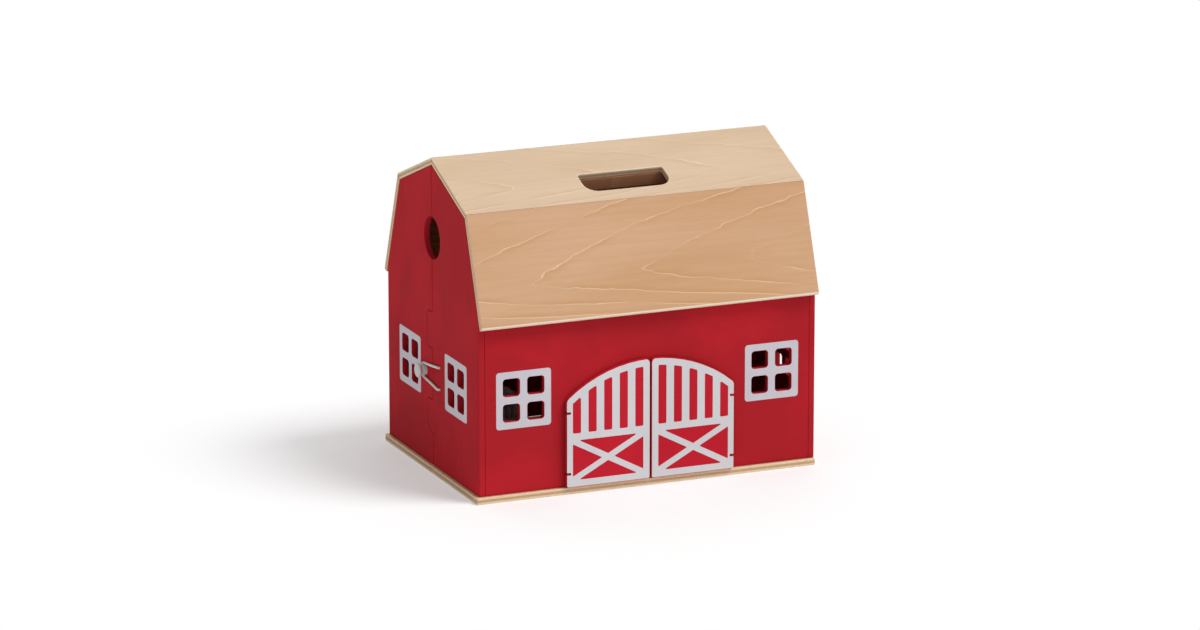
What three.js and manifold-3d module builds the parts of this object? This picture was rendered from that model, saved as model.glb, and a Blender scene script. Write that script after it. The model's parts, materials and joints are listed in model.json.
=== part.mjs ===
// Toy barn playset in painted and natural plywood. The barn is made as two halves that meet
// under the ridge and open like a book about two butt hinges on one gable. A double gate
// closes the front, a two-part stable door closes the back, and an elastic loop holds the
// halves shut at the other gable. Two stall panels, two fences and two troughs stand loose
// inside. Millimetres, +Z up, ridge along X, front towards -Y, latch at the -X gable. The
// origin is the middle of the closed barn's underside.

import * as THREE from 'three';
import { mergeVertices } from 'three/addons/utils/BufferGeometryUtils.js';
import Module from 'manifold-3d';

const wasm = await Module();
wasm.setup();

// Boards and clearances
const ply = 6;
const floorPly = 6.5;
const leafPly = 4;
const paint = 0.4;
const glueGap = 0.1;
const slopeGap = 0.3;
const splitGap = 0.6;
const runGap = 0.3;
const overrun = 2;

// Barn outline
const wallDepth = 228;
const eaveHeight = 166;
const eaveOverhang = 9;
const lowerRise = 100;
const lowerRun = 36.5;
const upperRise = 34;
const floorLip = 3;

// Tongues of the front half's latch gable, one above the latch and one below it
const tongueReach = 13;
const tongueHeight = 34;
const upperTongueTop = 153;
const lowerTongueTop = 69;
const lowerTongueSlope = 9;
const tongueRound = 3;

// Round hole high in both gables
const oculusRadius = 20;
const oculusHeight = 224;

// Hand slots and the grip under the ridge
const slotLength = 85;
const slotStart = 16;
const slotEnd = 44;
const slotNearRound = 13;
const slotFarRound = 2.5;
const gripThickness = 14;
const gripEndMargin = 14;

// Loft
const loftSetback = 2;
const cleatSize = 8;
const cleatMargin = 12;

// Windows
const windowSize = 54;
const windowRound = 3;
const paneSize = 16.5;
const paneRound = 3;
const barWidth = 7.5;
const paneBleed = 0.3;
const windowHeight = 95;
const gateToWindow = 13.2;
const windowToCorner = 17;
const backWindowToCorner = 35;
const gableWindowPlace = 57.5;

// Front gate
const gateWidth = 167.6;
const gateGap = 1.6;
const gateTop = 121.5;
const gateRise = 31.2;
const gateOverlap = 5;
const gateOuterRound = 6;
const gateInnerRound = 4;
const leafRound = 2;
const leafStandOff = 1.4;
const leafLift = 0.6;

// Painted lattice of the gate and the stable door
const outerStile = 6.4;
const innerStile = 7;
const topBorder = 7;
const slatWidth = 8.05;
const gateStripes = 5;
const railBottom = 51.3;
const railTop = 58.5;
const bottomRail = 7;
const braceWidth = 6.3;
const paintRound = 1;

// Stable door
const doorOpeningWidth = 63;
const doorOpeningTop = 123;
const doorLeafWidth = 82;
const doorSplitHeight = 67.5;
const doorSplitGap = 1.4;
const doorTop = 128.5;
const doorFrame = 7;
const doorStripes = 4;

// Leaf hinges: pins in the leaf edge, screw eyes in the wall
const pinRadius = 0.5;
const pinBore = 0.8;
const pinInset = 0.6;
const pinTopMargin = 6;
const eyeWire = 0.45;
const eyeInset = 1.9;
const eyeShankDepth = 5;
const notchHeight = 1.5;
const notchDepth = 3.9;
const gateNotchDrop = 12.5;
const gateLowNotchHeight = 20;
const doorNotchMargin = 11;

// Butt hinges between the halves
const hingeAxisOffset = 2;
const knuckleRadius = 2;
const hingePinRadius = 0.9;
const hingePinHead = 1.7;
const hingePinHeadHeight = 1.2;
const hingeHeight = 28;
const hingeLeafWidth = 14;
const hingeLeafThickness = 0.9;
const hingeMidHeights = [38, 180];
const screwHoleRadius = 1.2;
const screwSpacing = 16;

// Latch
const knobPlace = 18.5;
const knobHeight = 94;
const knobReach = 10;
const knobHeadRadius = 7;
const knobHeadHeight = 4.2;
const knobHeadShares = [[0.9, 0], [1, 0.35], [0.82, 0.75], [0.45, 0.96]];
const knobNeckRadius = 5;
const knobPegRadius = 2.4;
const loopRadius = 1.2;
const loopAnchorPlace = 17;
const loopAnchorSpread = 21;
const loopTail = 3;
const loopBendShares = [0.7, 0.3];
const knotRadius = 2.6;
const knotLength = 3.6;
const knotBite = 1;

// Fences and troughs
const fenceLength = 88;
const fenceHeight = 48;
const fencePly = 6;
const fenceInset = 7;
const footLength = 26;
const footHeight = 8;
const footWidth = 6;
const footMargin = 10;
const picketCount = 5;
const picketWidth = 10;
const picketRise = 9;
const picketRound = 3;
const fenceTopRail = 8;
const fenceBottomRail = 12;
const stallArcRise = 12;
const stallSolidHeight = 18;
const stallBorder = 6;
const stallSlots = 5;
const stallSlotWidth = 8;
const frontFenceToGable = 70;
const backFenceToGable = 92;
const troughLength = 44;
const troughDepth = 18;
const troughHeight = 16;
const troughWall = 3;
const frontTroughToGable = 12;
const backTroughToGable = 22;

// Step counts of round outlines
const cornerSteps = 3;
const archSteps = 8;
const holeSides = 10;
const roundSides = 16;
const wireSides = 6;
const hingePinSides = 8;
const loopSides = 6;
const loopSteps = 44;
const weldDistance = 0.0004;

// Sizes and places that follow
const frontWindowPlace = gateWidth / 2 + gateToWindow + windowSize / 2;
const halfLength = frontWindowPlace + windowSize / 2 + windowToCorner;
const barnLength = 2 * halfLength;
const backWindowPlace = halfLength - backWindowToCorner - windowSize / 2;
const wallFace = wallDepth / 2;
const wallInner = wallFace - ply;
const splitFace = splitGap / 2;
const gableInner = halfLength - ply;
const wallBottom = floorPly + glueGap;
const leafHeight = floorPly + leafLift;
const leafBack = wallFace + leafStandOff;
const leafFront = leafBack + leafPly;
const pinPlane = leafBack + leafPly / 2;
const hingeReach = hingeAxisOffset + knuckleRadius;
const hingePlateStart = knuckleRadius + runGap;
const hingeScrewPlace = hingePlateStart + hingeLeafWidth / 2;
const barnShift = (knobReach - hingeReach) / 2;
const eyeRing = pinRadius + runGap + eyeWire;
const eaveDepth = wallFace + eaveOverhang;
const breakDepth = eaveDepth - lowerRun;
const breakHeight = eaveHeight + lowerRise;
const ridgeHeight = breakHeight + upperRise;
const upperSlope = Math.atan2(upperRise, breakDepth);
const lowerSlope = Math.atan2(lowerRise, lowerRun);
const loftTop = eaveHeight;
const gateArc = ((gateWidth / 2) ** 2 + gateRise ** 2) / (2 * gateRise);
const gateShoulder = gateTop - gateRise;
const gateNotchHeight = gateShoulder - gateNotchDrop;
const frontFencePlace = gableInner - frontFenceToGable;
const backFencePlace = gableInner - backFenceToGable;
const frontTroughPlace = gableInner - frontTroughToGable - troughLength / 2;
const backTroughPlace = gableInner - backTroughToGable - troughLength / 2;

// Finishes
function finish(color, roughness, metalness = 0) {
  return new THREE.MeshStandardMaterial({ color, roughness, metalness });
}
const naturalWood = finish(0xdcc09c, 0.6);
const redPaint = finish(0xb01f28, 0.5);
const brightRed = finish(0xc81e2d, 0.5);
const whitePaint = finish(0xdcdce2, 0.5);
const steel = finish(0xb8bac0, 0.35, 0.9);
const brass = finish(0xc8a860, 0.35, 0.9);
const elastic = finish(0xe4e2dc, 0.8);

const barn = new THREE.Group();
barn.position.x = barnShift;

function addPiece(name, geometry, material, place = {}) {
  const mesh = new THREE.Mesh(geometry, material);
  mesh.name = name;
  mesh.position.set(place.x ?? 0, place.y ?? 0, place.z ?? 0);
  mesh.rotation.set(place.turnX ?? 0, place.turnY ?? 0, 0);
  barn.add(mesh);
}

// Booleans
function toSolid(geometry) {
  const bare = geometry.clone();
  bare.deleteAttribute('normal');
  bare.deleteAttribute('uv');
  const merged = mergeVertices(bare, weldDistance);
  return new wasm.Manifold(new wasm.Mesh({
    numProp: 3,
    vertProperties: new Float32Array(merged.attributes.position.array),
    triVerts: new Uint32Array(merged.index.array),
  }));
}

function toGeometry(solid) {
  const mesh = solid.getMesh();
  const geometry = new THREE.BufferGeometry();
  geometry.setAttribute('position', new THREE.BufferAttribute(mesh.vertProperties, 3));
  geometry.setIndex(new THREE.BufferAttribute(mesh.triVerts, 1));
  return geometry;
}

function cut(base, tools) {
  return toGeometry(tools.reduce((solid, tool) => solid.subtract(toSolid(tool)), toSolid(base)));
}

function join(pieces) {
  const solids = pieces.map(toSolid);
  return toGeometry(solids.reduce((whole, solid) => whole.add(solid)));
}

// Outlines: a corner is [across, up, radius], and its radius rounds it with an arc
function rounded(corners) {
  const points = [];
  const toward = (here, [across, up]) => new THREE.Vector2(across, up).sub(here).normalize();
  corners.forEach(([across, up, radius = 0], i) => {
    const here = new THREE.Vector2(across, up);
    if (!radius) {
      points.push(here);
      return;
    }
    const before = toward(here, corners.at(i - 1));
    const after = toward(here, corners[(i + 1) % corners.length]);
    const half = Math.acos(THREE.MathUtils.clamp(before.dot(after), -1, 1)) / 2;
    const middle = before.clone().add(after).normalize();
    const centre = middle.clone().multiplyScalar(radius / Math.sin(half)).add(here);
    const sweep = Math.sign(before.cross(after)) * (Math.PI - 2 * half);
    const start = middle.clone().negate().multiplyScalar(radius);
    for (let step = 0; step <= cornerSteps; step += 1) {
      const angle = sweep / 2 - (sweep * step) / cornerSteps;
      points.push(start.clone().rotateAround(new THREE.Vector2(), angle).add(centre));
    }
  });
  return points;
}

function block(across, up, width, height, radius = 0) {
  const left = across - width / 2;
  const low = up - height / 2;
  return rounded([
    [left, low, radius],
    [left + width, low, radius],
    [left + width, low + height, radius],
    [left, low + height, radius],
  ]);
}

function circle(across, up, radius, sides = holeSides) {
  return Array.from({ length: sides }, (_, i) => new THREE.Vector2(
    across + radius * Math.cos((2 * Math.PI * i) / sides),
    up + radius * Math.sin((2 * Math.PI * i) / sides),
  ));
}

function extrude(points, thickness) {
  return new THREE.ExtrudeGeometry(new THREE.Shape(points), { depth: thickness, bevelEnabled: false });
}

function turned(profile, sides) {
  return new THREE.LatheGeometry(profile.map(([r, along]) => new THREE.Vector2(r, along)), sides);
}

function board(points, thickness, holes) {
  const tools = holes.map((hole) => extrude(hole, thickness + 2 * overrun).translate(0, 0, -overrun));
  return cut(extrude(points, thickness), tools);
}

// Boards: an outline over (y, z) pushed along X, and one over (x, z) pushed along Y
function alongX(start) {
  return { x: start, turnX: Math.PI / 2, turnY: Math.PI / 2 };
}

function alongY(start, thickness) {
  return { y: start + thickness, turnX: Math.PI / 2 };
}

function rodX(radius, length, sides = holeSides) {
  return new THREE.CylinderGeometry(radius, radius, length, sides).rotateZ(Math.PI / 2);
}

function rodY(radius, length, sides = holeSides) {
  return new THREE.CylinderGeometry(radius, radius, length, sides);
}

function rodZ(radius, length, sides = holeSides) {
  return new THREE.CylinderGeometry(radius, radius, length, sides).rotateX(Math.PI / 2);
}

// Roof section, in depth from the ridge plane and height, at a depth below the outer face
function slopeVectors(angle) {
  return {
    along: [-Math.cos(angle), Math.sin(angle)],
    out: [Math.sin(angle), Math.cos(angle)],
  };
}
const slopes = { lower: slopeVectors(lowerSlope), upper: slopeVectors(upperSlope) };

function eaveAt(below) {
  const { out } = slopes.lower;
  return [eaveDepth - below * out[0], eaveHeight - below * out[1]];
}

function breakAt(below) {
  const [lower, upper] = [slopes.lower.out, slopes.upper.out];
  const scale = below / (1 + lower[0] * upper[0] + lower[1] * upper[1]);
  return [breakDepth - (lower[0] + upper[0]) * scale, breakHeight - (lower[1] + upper[1]) * scale];
}

function ridgeAt(below) {
  return [splitFace, ridgeHeight - below / Math.cos(upperSlope) - splitFace * Math.tan(upperSlope)];
}

function upSlope(distance, below) {
  const { along, out } = slopes.upper;
  return [
    breakDepth + distance * along[0] - below * out[0],
    breakHeight + distance * along[1] - below * out[1],
  ];
}

function slide(point, slope, distance) {
  return [point[0] + slope.along[0] * distance, point[1] + slope.along[1] * distance];
}

function lowerRoofHeight(depth, below) {
  const [eave, low] = eaveAt(below);
  return low + (eave - depth) * Math.tan(lowerSlope);
}

function mirrored(points, side) {
  return points.map(([depth, height, radius]) => [side * depth, height, radius]);
}

// Windows
function paneCentres(across, up) {
  const step = (paneSize + barWidth) / 2;
  return [[-step, -step], [step, -step], [-step, step], [step, step]].map(([a, b]) => [across + a, up + b]);
}

function paneHoles(across, up, grow = 0) {
  const size = paneSize + 2 * grow;
  return paneCentres(across, up).map(([a, b]) => block(a, b, size, size, paneRound + grow));
}

function windowPaint() {
  return board(block(0, 0, windowSize, windowSize, windowRound), paint, paneHoles(0, 0, paneBleed));
}

function addWindowPaint(name, face, across) {
  const geometry = windowPaint().translate(0, 0, -paint / 2);
  const proud = face.at + Math.sign(face.at) * (paint / 2 + glueGap);
  const place = { z: windowHeight, turnX: Math.PI / 2 };
  if (face.axis === 'y') {
    addPiece(name, geometry, whitePaint, { ...place, x: across, y: proud });
  } else {
    addPiece(name, geometry, whitePaint, { ...place, x: proud, y: across, turnY: Math.PI / 2 });
  }
}

// Gate and door outlines, measured from the hinge edge and from the barn's underside
function archHeight(fromMiddle, inset = 0) {
  const radius = gateArc - inset;
  return gateTop - gateArc + Math.sqrt(radius ** 2 - fromMiddle ** 2);
}

function archPoints(from, to, inset = 0) {
  return Array.from({ length: archSteps + 1 }, (_, i) => {
    const across = from + ((to - from) * i) / archSteps;
    return [across, archHeight(across, inset)];
  });
}

function notched(edge, inward, heights) {
  return heights.flatMap((height) => [
    [edge, height - notchHeight / 2],
    [edge + inward * notchDepth, height - notchHeight / 2],
    [edge + inward * notchDepth, height + notchHeight / 2],
    [edge, height + notchHeight / 2],
  ]);
}

function gateLeafOutline(side) {
  const outer = side * (gateWidth / 2);
  const inner = side * (gateGap / 2);
  const arch = archPoints(outer, inner);
  arch[0][2] = gateOuterRound;
  arch[archSteps][2] = gateInnerRound;
  return rounded([
    [inner, leafHeight, leafRound],
    [outer, leafHeight, leafRound],
    ...notched(outer, -side, [gateLowNotchHeight, gateNotchHeight]),
    ...arch,
  ]);
}

// The four red fields that leave a white diagonal cross in a frame
function crossFields(left, right, low, high) {
  const [middle, centre] = [(left + right) / 2, (low + high) / 2];
  const [halfWidth, halfHeight] = [(right - left) / 2, (high - low) / 2];
  const steep = halfHeight / halfWidth;
  const rise = (braceWidth / 2) * Math.hypot(1, steep);
  const run = (braceWidth / 2) * Math.hypot(1, 1 / steep);
  const top = (halfHeight - rise) / steep;
  const flank = (halfWidth - run) * steep;
  return [1, -1].flatMap((sign) => [
    rounded([
      [middle, centre + sign * rise],
      [middle + top, centre + sign * halfHeight, 0],
      [middle - top, centre + sign * halfHeight, 0],
    ]),
    rounded([
      [middle + sign * run, centre],
      [middle + sign * halfWidth, centre + flank, 0],
      [middle + sign * halfWidth, centre - flank, 0],
    ]),
  ]);
}

function stripes(left, right, count, low, heightAt) {
  const width = (right - left - (count - 1) * slatWidth) / count;
  return Array.from({ length: count }, (_, i) => {
    const from = left + i * (width + slatWidth);
    return rounded([
      [from, low, paintRound],
      [from + width, low, paintRound],
      [from + width, heightAt(from + width), paintRound],
      [from, heightAt(from), paintRound],
    ]);
  });
}

function gateFields(side) {
  const edges = [side * (gateWidth / 2 - outerStile), side * (gateGap / 2 + innerStile)];
  const [left, right] = [Math.min(...edges), Math.max(...edges)];
  const underArch = (across) => archHeight(across, topBorder);
  return [
    ...stripes(left, right, gateStripes, railTop, underArch),
    ...crossFields(left, right, leafHeight + bottomRail, railBottom),
  ];
}

// Screw eyes and pins that carry a leaf. The eye's ring lies level in the leaf's notch.
function screwEye(inward) {
  const wire = circle(eyeRing, 0, eyeWire, wireSides);
  const ring = new THREE.LatheGeometry([...wire, wire[0]], holeSides).rotateX(Math.PI / 2);
  const reach = leafPly / 2 + leafStandOff + eyeShankDepth - eyeRing;
  const shank = rodY(eyeWire, reach).translate(0, inward * (eyeRing + reach / 2), 0);
  return join([ring, shank]);
}

function eyeHoles(places) {
  return places.map(([x, z]) => circle(x, z, eyeWire + runGap));
}

// A leaf, the pin in its hinge edge, its screw eyes and the white lattice on its outer face
function addLeaf(name, outline, fields, span, axis, face, notches) {
  const side = Math.sign(face);
  const inward = -side;
  const flat = extrude(outline, leafPly).translate(0, 0, -leafPly / 2).rotateX(Math.PI / 2);
  const pinFoot = span.bottom + pinInset;
  const pinLength = span.pinTop - pinFoot;
  const boreTop = span.pinTop + runGap;
  const boreLength = boreTop - span.bottom + overrun;
  const bore = rodZ(pinBore, boreLength).translate(axis, 0, boreTop - boreLength / 2);
  addPiece(`${name}_leaf`, cut(flat, [bore]), brightRed, { y: face });
  const pin = rodZ(pinRadius, pinLength);
  addPiece(`${name}_pin`, pin, steel, { x: axis, y: face, z: pinFoot + pinLength / 2 });
  ['lower', 'upper'].forEach((level, i) => {
    addPiece(`${name}_${level}_eye`, screwEye(inward), steel, { x: axis, y: face, z: notches[i] });
  });
  const lattice = board(outline, paint, fields).translate(0, 0, -paint / 2);
  const proud = side * (leafFront + glueGap + paint / 2);
  addPiece(`${name}_lattice`, lattice, whitePaint, { y: proud, turnX: Math.PI / 2 });
}

const gateAxis = gateWidth / 2 - eyeInset;
const doorAxis = doorLeafWidth / 2 - eyeInset;
const gateNotches = [gateLowNotchHeight, gateNotchHeight];
const gateSpan = { bottom: leafHeight, pinTop: gateShoulder - pinTopMargin };
const doorLow = { bottom: leafHeight, top: doorSplitHeight - doorSplitGap / 2 };
const doorHigh = { bottom: doorSplitHeight + doorSplitGap / 2, top: doorTop };

function doorNotches({ bottom, top }) {
  return [bottom + doorNotchMargin, top - doorNotchMargin];
}

// Long walls
function frontWallOutline() {
  const opening = gateWidth / 2 - gateOverlap;
  const arch = archPoints(-opening, opening, gateOverlap);
  const top = lowerRoofHeight(wallFace, ply) - slopeGap;
  return rounded([
    [-gableInner + glueGap, wallBottom],
    [-opening, wallBottom],
    ...arch,
    [opening, wallBottom],
    [gableInner - glueGap, wallBottom],
    [gableInner - glueGap, top],
    [-gableInner + glueGap, top],
  ]);
}

function backWallOutline() {
  const opening = doorOpeningWidth / 2;
  const top = lowerRoofHeight(wallFace, ply) - slopeGap;
  return rounded([
    [-gableInner + glueGap, wallBottom],
    [-opening, wallBottom],
    [-opening, doorOpeningTop, paneRound],
    [opening, doorOpeningTop, paneRound],
    [opening, wallBottom],
    [gableInner - glueGap, wallBottom],
    [gableInner - glueGap, top],
    [-gableInner + glueGap, top],
  ]);
}

// Gable halves, outlined over (y, z). The front latch gable carries the tongues.
function gableOutline(side, steps) {
  const below = ply + slopeGap;
  const wallTop = lowerRoofHeight(wallFace, below);
  const oculus = Array.from({ length: archSteps + 1 }, (_, i) => {
    const edge = Math.acos(splitFace / oculusRadius);
    const angle = -edge + (2 * edge * i) / archSteps;
    return [oculusRadius * Math.cos(angle), oculusHeight + oculusRadius * Math.sin(angle)];
  });
  return rounded(mirrored([
    [wallFace, wallBottom],
    [splitFace, wallBottom],
    ...steps,
    ...oculus,
    ridgeAt(below),
    breakAt(below),
    [wallFace, wallTop],
  ], side));
}

// A tongue is flat on top, and its underside may rise by a slope towards its tip. The notch is a gap wider.
function tongueSteps(side) {
  const gap = side > 0 ? runGap : 0;
  const edge = side * tongueReach + gap;
  return [[lowerTongueTop, lowerTongueSlope], [upperTongueTop, 0]].flatMap(([top, slope]) => [
    [splitFace, top - tongueHeight - gap, 0],
    [edge, top - tongueHeight - gap + slope, tongueRound],
    [edge, top + gap, tongueRound],
    [splitFace, top + gap, 0],
  ]);
}

function hingeScrewPlaces(side) {
  return hingeMidHeights.flatMap((mid) => [-1, 1].map((end) => [
    side * hingeScrewPlace,
    mid + (end * screwSpacing) / 2,
  ]));
}

const loopAnchors = [-1, 1].map((end) => [-loopAnchorPlace, knobHeight + (end * loopAnchorSpread) / 2]);

function latchHoles(side) {
  if (side > 0) {
    return [circle(knobPlace, knobHeight, knobPegRadius + runGap)];
  }
  return loopAnchors.map(([y, z]) => circle(y, z, loopRadius + runGap));
}

function addGables(prefix, side) {
  const panes = paneHoles(side * gableWindowPlace, windowHeight);
  const latch = board(gableOutline(side, tongueSteps(side)), ply, [...panes, ...latchHoles(side)]);
  addPiece(`${prefix}_latch_gable`, latch, redPaint, alongX(-halfLength));
  const screws = hingeScrewPlaces(side).map(([y, z]) => circle(y, z, screwHoleRadius));
  const hinge = board(gableOutline(side, []), ply, [...panes, ...screws]);
  addPiece(`${prefix}_hinge_gable`, hinge, redPaint, alongX(gableInner));
  const windowAt = side * gableWindowPlace;
  addWindowPaint(`${prefix}_latch_gable_window`, { axis: 'x', at: -halfLength }, windowAt);
  addWindowPaint(`${prefix}_hinge_gable_window`, { axis: 'x', at: halfLength }, windowAt);
}

// Roof panels of a half, the grip under its ridge edge and its hand slot
function slotTool(side) {
  const outline = rounded([
    [-slotLength / 2, slotStart, slotNearRound],
    [slotLength / 2, slotStart, slotNearRound],
    [slotLength / 2, slotEnd, slotFarRound],
    [-slotLength / 2, slotEnd, slotFarRound],
  ]);
  return extrude(outline, ply + 2 * overrun)
    .translate(0, 0, -ply - overrun)
    .rotateX(upperSlope)
    .translate(0, -breakDepth, breakHeight)
    .rotateZ(side > 0 ? Math.PI : 0);
}

function section(points, side, from, length) {
  return extrude(rounded(mirrored(points, side)), length)
    .rotateY(Math.PI / 2)
    .rotateX(Math.PI / 2)
    .translate(from, 0, 0);
}

function addRoof(prefix, side) {
  const half = slopeGap / 2;
  const lower = [
    eaveAt(0),
    slide(breakAt(0), slopes.lower, -half),
    slide(breakAt(ply), slopes.lower, -half),
    eaveAt(ply),
  ];
  const upper = [
    slide(breakAt(0), slopes.upper, half),
    ridgeAt(0),
    ridgeAt(ply),
    slide(breakAt(ply), slopes.upper, half),
  ];
  const [gripTop, gripBottom] = [ply + glueGap, ply + glueGap + gripThickness];
  const grip = [
    upSlope(slotEnd, gripTop),
    ridgeAt(gripTop),
    ridgeAt(gripBottom),
    upSlope(slotEnd, gripBottom),
  ];
  const gripLength = slotLength + 2 * gripEndMargin;
  const panel = section(upper, side, -halfLength, barnLength);
  addPiece(`${prefix}_lower_roof`, section(lower, side, -halfLength, barnLength), naturalWood);
  addPiece(`${prefix}_upper_roof`, cut(panel, [slotTool(side)]), naturalWood);
  addPiece(`${prefix}_grip_batten`, section(grip, side, -gripLength / 2, gripLength), naturalWood);
}

function addFloorAndLoft(prefix, side) {
  const floorLength = barnLength + floorLip;
  const floorDepth = wallFace + floorLip - splitFace;
  const floor = new THREE.BoxGeometry(floorLength, floorDepth, floorPly);
  addPiece(`${prefix}_floor`, floor, naturalWood, {
    x: -floorLip / 2,
    y: side * (splitFace + floorDepth / 2),
    z: floorPly / 2,
  });
  const loftDepth = wallInner - glueGap - loftSetback;
  const loft = new THREE.BoxGeometry(2 * (gableInner - glueGap), loftDepth, ply);
  addPiece(`${prefix}_loft`, loft, naturalWood, {
    y: side * (loftSetback + loftDepth / 2),
    z: loftTop - ply / 2,
  });
  const cleat = new THREE.BoxGeometry(2 * (gableInner - cleatMargin), cleatSize, cleatSize);
  addPiece(`${prefix}_loft_cleat`, cleat, naturalWood, {
    y: side * (wallInner - glueGap - cleatSize / 2),
    z: loftTop - ply - glueGap - cleatSize / 2,
  });
}

// Butt hinge leaf: a plate on the gable's outer face and its share of the knuckle
function hingeLeaf(side, knuckles) {
  const plateInner = hingeAxisOffset - glueGap;
  const plate = new THREE.BoxGeometry(hingeLeafThickness, hingeLeafWidth, hingeHeight)
    .translate(-plateInner + hingeLeafThickness / 2, side * hingeScrewPlace, 0);
  const parts = [plate];
  knuckles.forEach(([mid, height]) => {
    const neckDepth = knuckleRadius + 2 * runGap;
    parts.push(rodZ(knuckleRadius, height, roundSides).translate(0, 0, mid));
    parts.push(new THREE.BoxGeometry(hingeLeafThickness, neckDepth, height)
      .translate(-plateInner + hingeLeafThickness / 2, side * (neckDepth / 2), mid));
  });
  const bore = rodZ(hingePinRadius + runGap, hingeHeight + overrun, roundSides);
  const screws = [-1, 1].map((end) => rodX(screwHoleRadius, hingeLeafThickness + 2 * overrun)
    .translate(-plateInner, side * hingeScrewPlace, (end * screwSpacing) / 2));
  return cut(join(parts), [bore, ...screws]);
}

function hingePin() {
  const head = hingeHeight / 2 + runGap;
  const tip = head + hingePinHeadHeight;
  const half = [
    [hingePinRadius, head],
    [hingePinHead, head],
    [hingePinHead, head + hingePinHeadHeight / 2],
    [hingePinHead / 2, tip],
    [0, tip],
  ];
  return turned([...half.map(([r, z]) => [r, -z]).reverse(), ...half], hingePinSides)
    .rotateX(Math.PI / 2);
}

function addHinges() {
  const third = (hingeHeight - 2 * runGap) / 3;
  const outerKnuckles = [-1, 1].map((end) => [end * (third + runGap), third]);
  ['lower', 'upper'].forEach((level, i) => {
    const place = { x: halfLength + hingeAxisOffset, z: hingeMidHeights[i] };
    addPiece(`${level}_hinge_front_leaf`, hingeLeaf(-1, outerKnuckles), brass, place);
    addPiece(`${level}_hinge_back_leaf`, hingeLeaf(1, [[0, third]]), brass, place);
    addPiece(`${level}_hinge_pin`, hingePin(), brass, place);
  });
}

// Latch: a knob pegged into the back half and an elastic loop knotted into the front half
function addLatch() {
  const neckEnd = knobReach - knobHeadHeight;
  const profile = [
    [0, -ply],
    [knobPegRadius, -ply],
    [knobPegRadius, glueGap],
    [knobNeckRadius, glueGap],
    [knobNeckRadius, neckEnd - glueGap],
    ...knobHeadShares.map(([out, along]) => [
      knobHeadRadius * out,
      neckEnd + knobHeadHeight * along,
    ]),
    [0, knobReach],
  ];
  const knob = turned(profile, roundSides).rotateZ(Math.PI / 2);
  addPiece('latch_knob', knob, whitePaint, { x: -halfLength, y: knobPlace, z: knobHeight });

  const lift = loopRadius + runGap;
  const bend = knobNeckRadius + runGap + loopRadius;
  const spread = loopAnchorSpread / 2;
  const run = knobPlace + loopAnchorPlace;
  const [bendOut, bendAlong] = loopBendShares;
  const half = [
    [ply + loopTail, 0, spread],
    [ply / 2, 0, spread],
    [0, 0, spread],
    [-lift * bendOut, lift * bendAlong, spread],
    [-lift, lift, spread],
    [-lift, run / 2, (spread + bend) / 2],
    [-lift, run, bend],
    [-lift, run + bend * Math.SQRT1_2, bend * Math.SQRT1_2],
  ];
  const route = [
    ...half,
    [-lift, run + bend, 0],
    ...half.map(([x, y, z]) => [x, y, -z]).reverse(),
  ].map((point) => new THREE.Vector3(...point));
  const loop = new THREE.ExtrudeGeometry(new THREE.Shape(circle(0, 0, loopRadius, loopSides)), {
    steps: loopSteps,
    extrudePath: new THREE.CatmullRomCurve3(route, false, 'centripetal'),
    bevelEnabled: false,
  });
  const knotX = ply + loopTail - knotBite + knotLength / 2;
  const knots = [-1, 1].map((end) => rodX(knotRadius, knotLength).translate(knotX, 0, end * spread));
  const anchor = { x: -halfLength, y: -loopAnchorPlace, z: knobHeight };
  addPiece('latch_loop', join([loop, ...knots]), elastic, anchor);
}

// Fences and troughs
function fenceFeet() {
  const place = fenceLength / 2 - footMargin;
  return [-1, 1].map((end) => new THREE.BoxGeometry(footLength, footWidth, footHeight)
    .translate(0, end * place, footHeight / 2));
}

function upright(outline, holes) {
  return board(outline, fencePly, holes)
    .translate(0, 0, -fencePly / 2)
    .rotateY(Math.PI / 2)
    .rotateX(Math.PI / 2);
}

function picketFence() {
  const gap = (fenceLength - picketCount * picketWidth) / (picketCount - 1);
  const step = picketWidth + gap;
  const railTopEdge = fenceHeight - picketRise;
  const left = -fenceLength / 2;
  const crown = Array.from({ length: picketCount }, (_, i) => {
    const from = left + i * step;
    const corners = [
      [from, fenceHeight, picketRound],
      [from + picketWidth, fenceHeight, picketRound],
    ];
    const foot = [[from + picketWidth, railTopEdge], [from + step, railTopEdge]];
    return i < picketCount - 1 ? [...corners, ...foot] : corners;
  }).flat();
  const outline = rounded([...crown, [-left, 0], [left, 0]]);
  const slotTop = railTopEdge - fenceTopRail;
  const holes = Array.from({ length: picketCount - 1 }, (_, i) => block(
    left + i * step + picketWidth + gap / 2,
    (slotTop + fenceBottomRail) / 2,
    gap,
    slotTop - fenceBottomRail,
    paintRound,
  ));
  return join([upright(outline, holes), ...fenceFeet()]);
}

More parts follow.
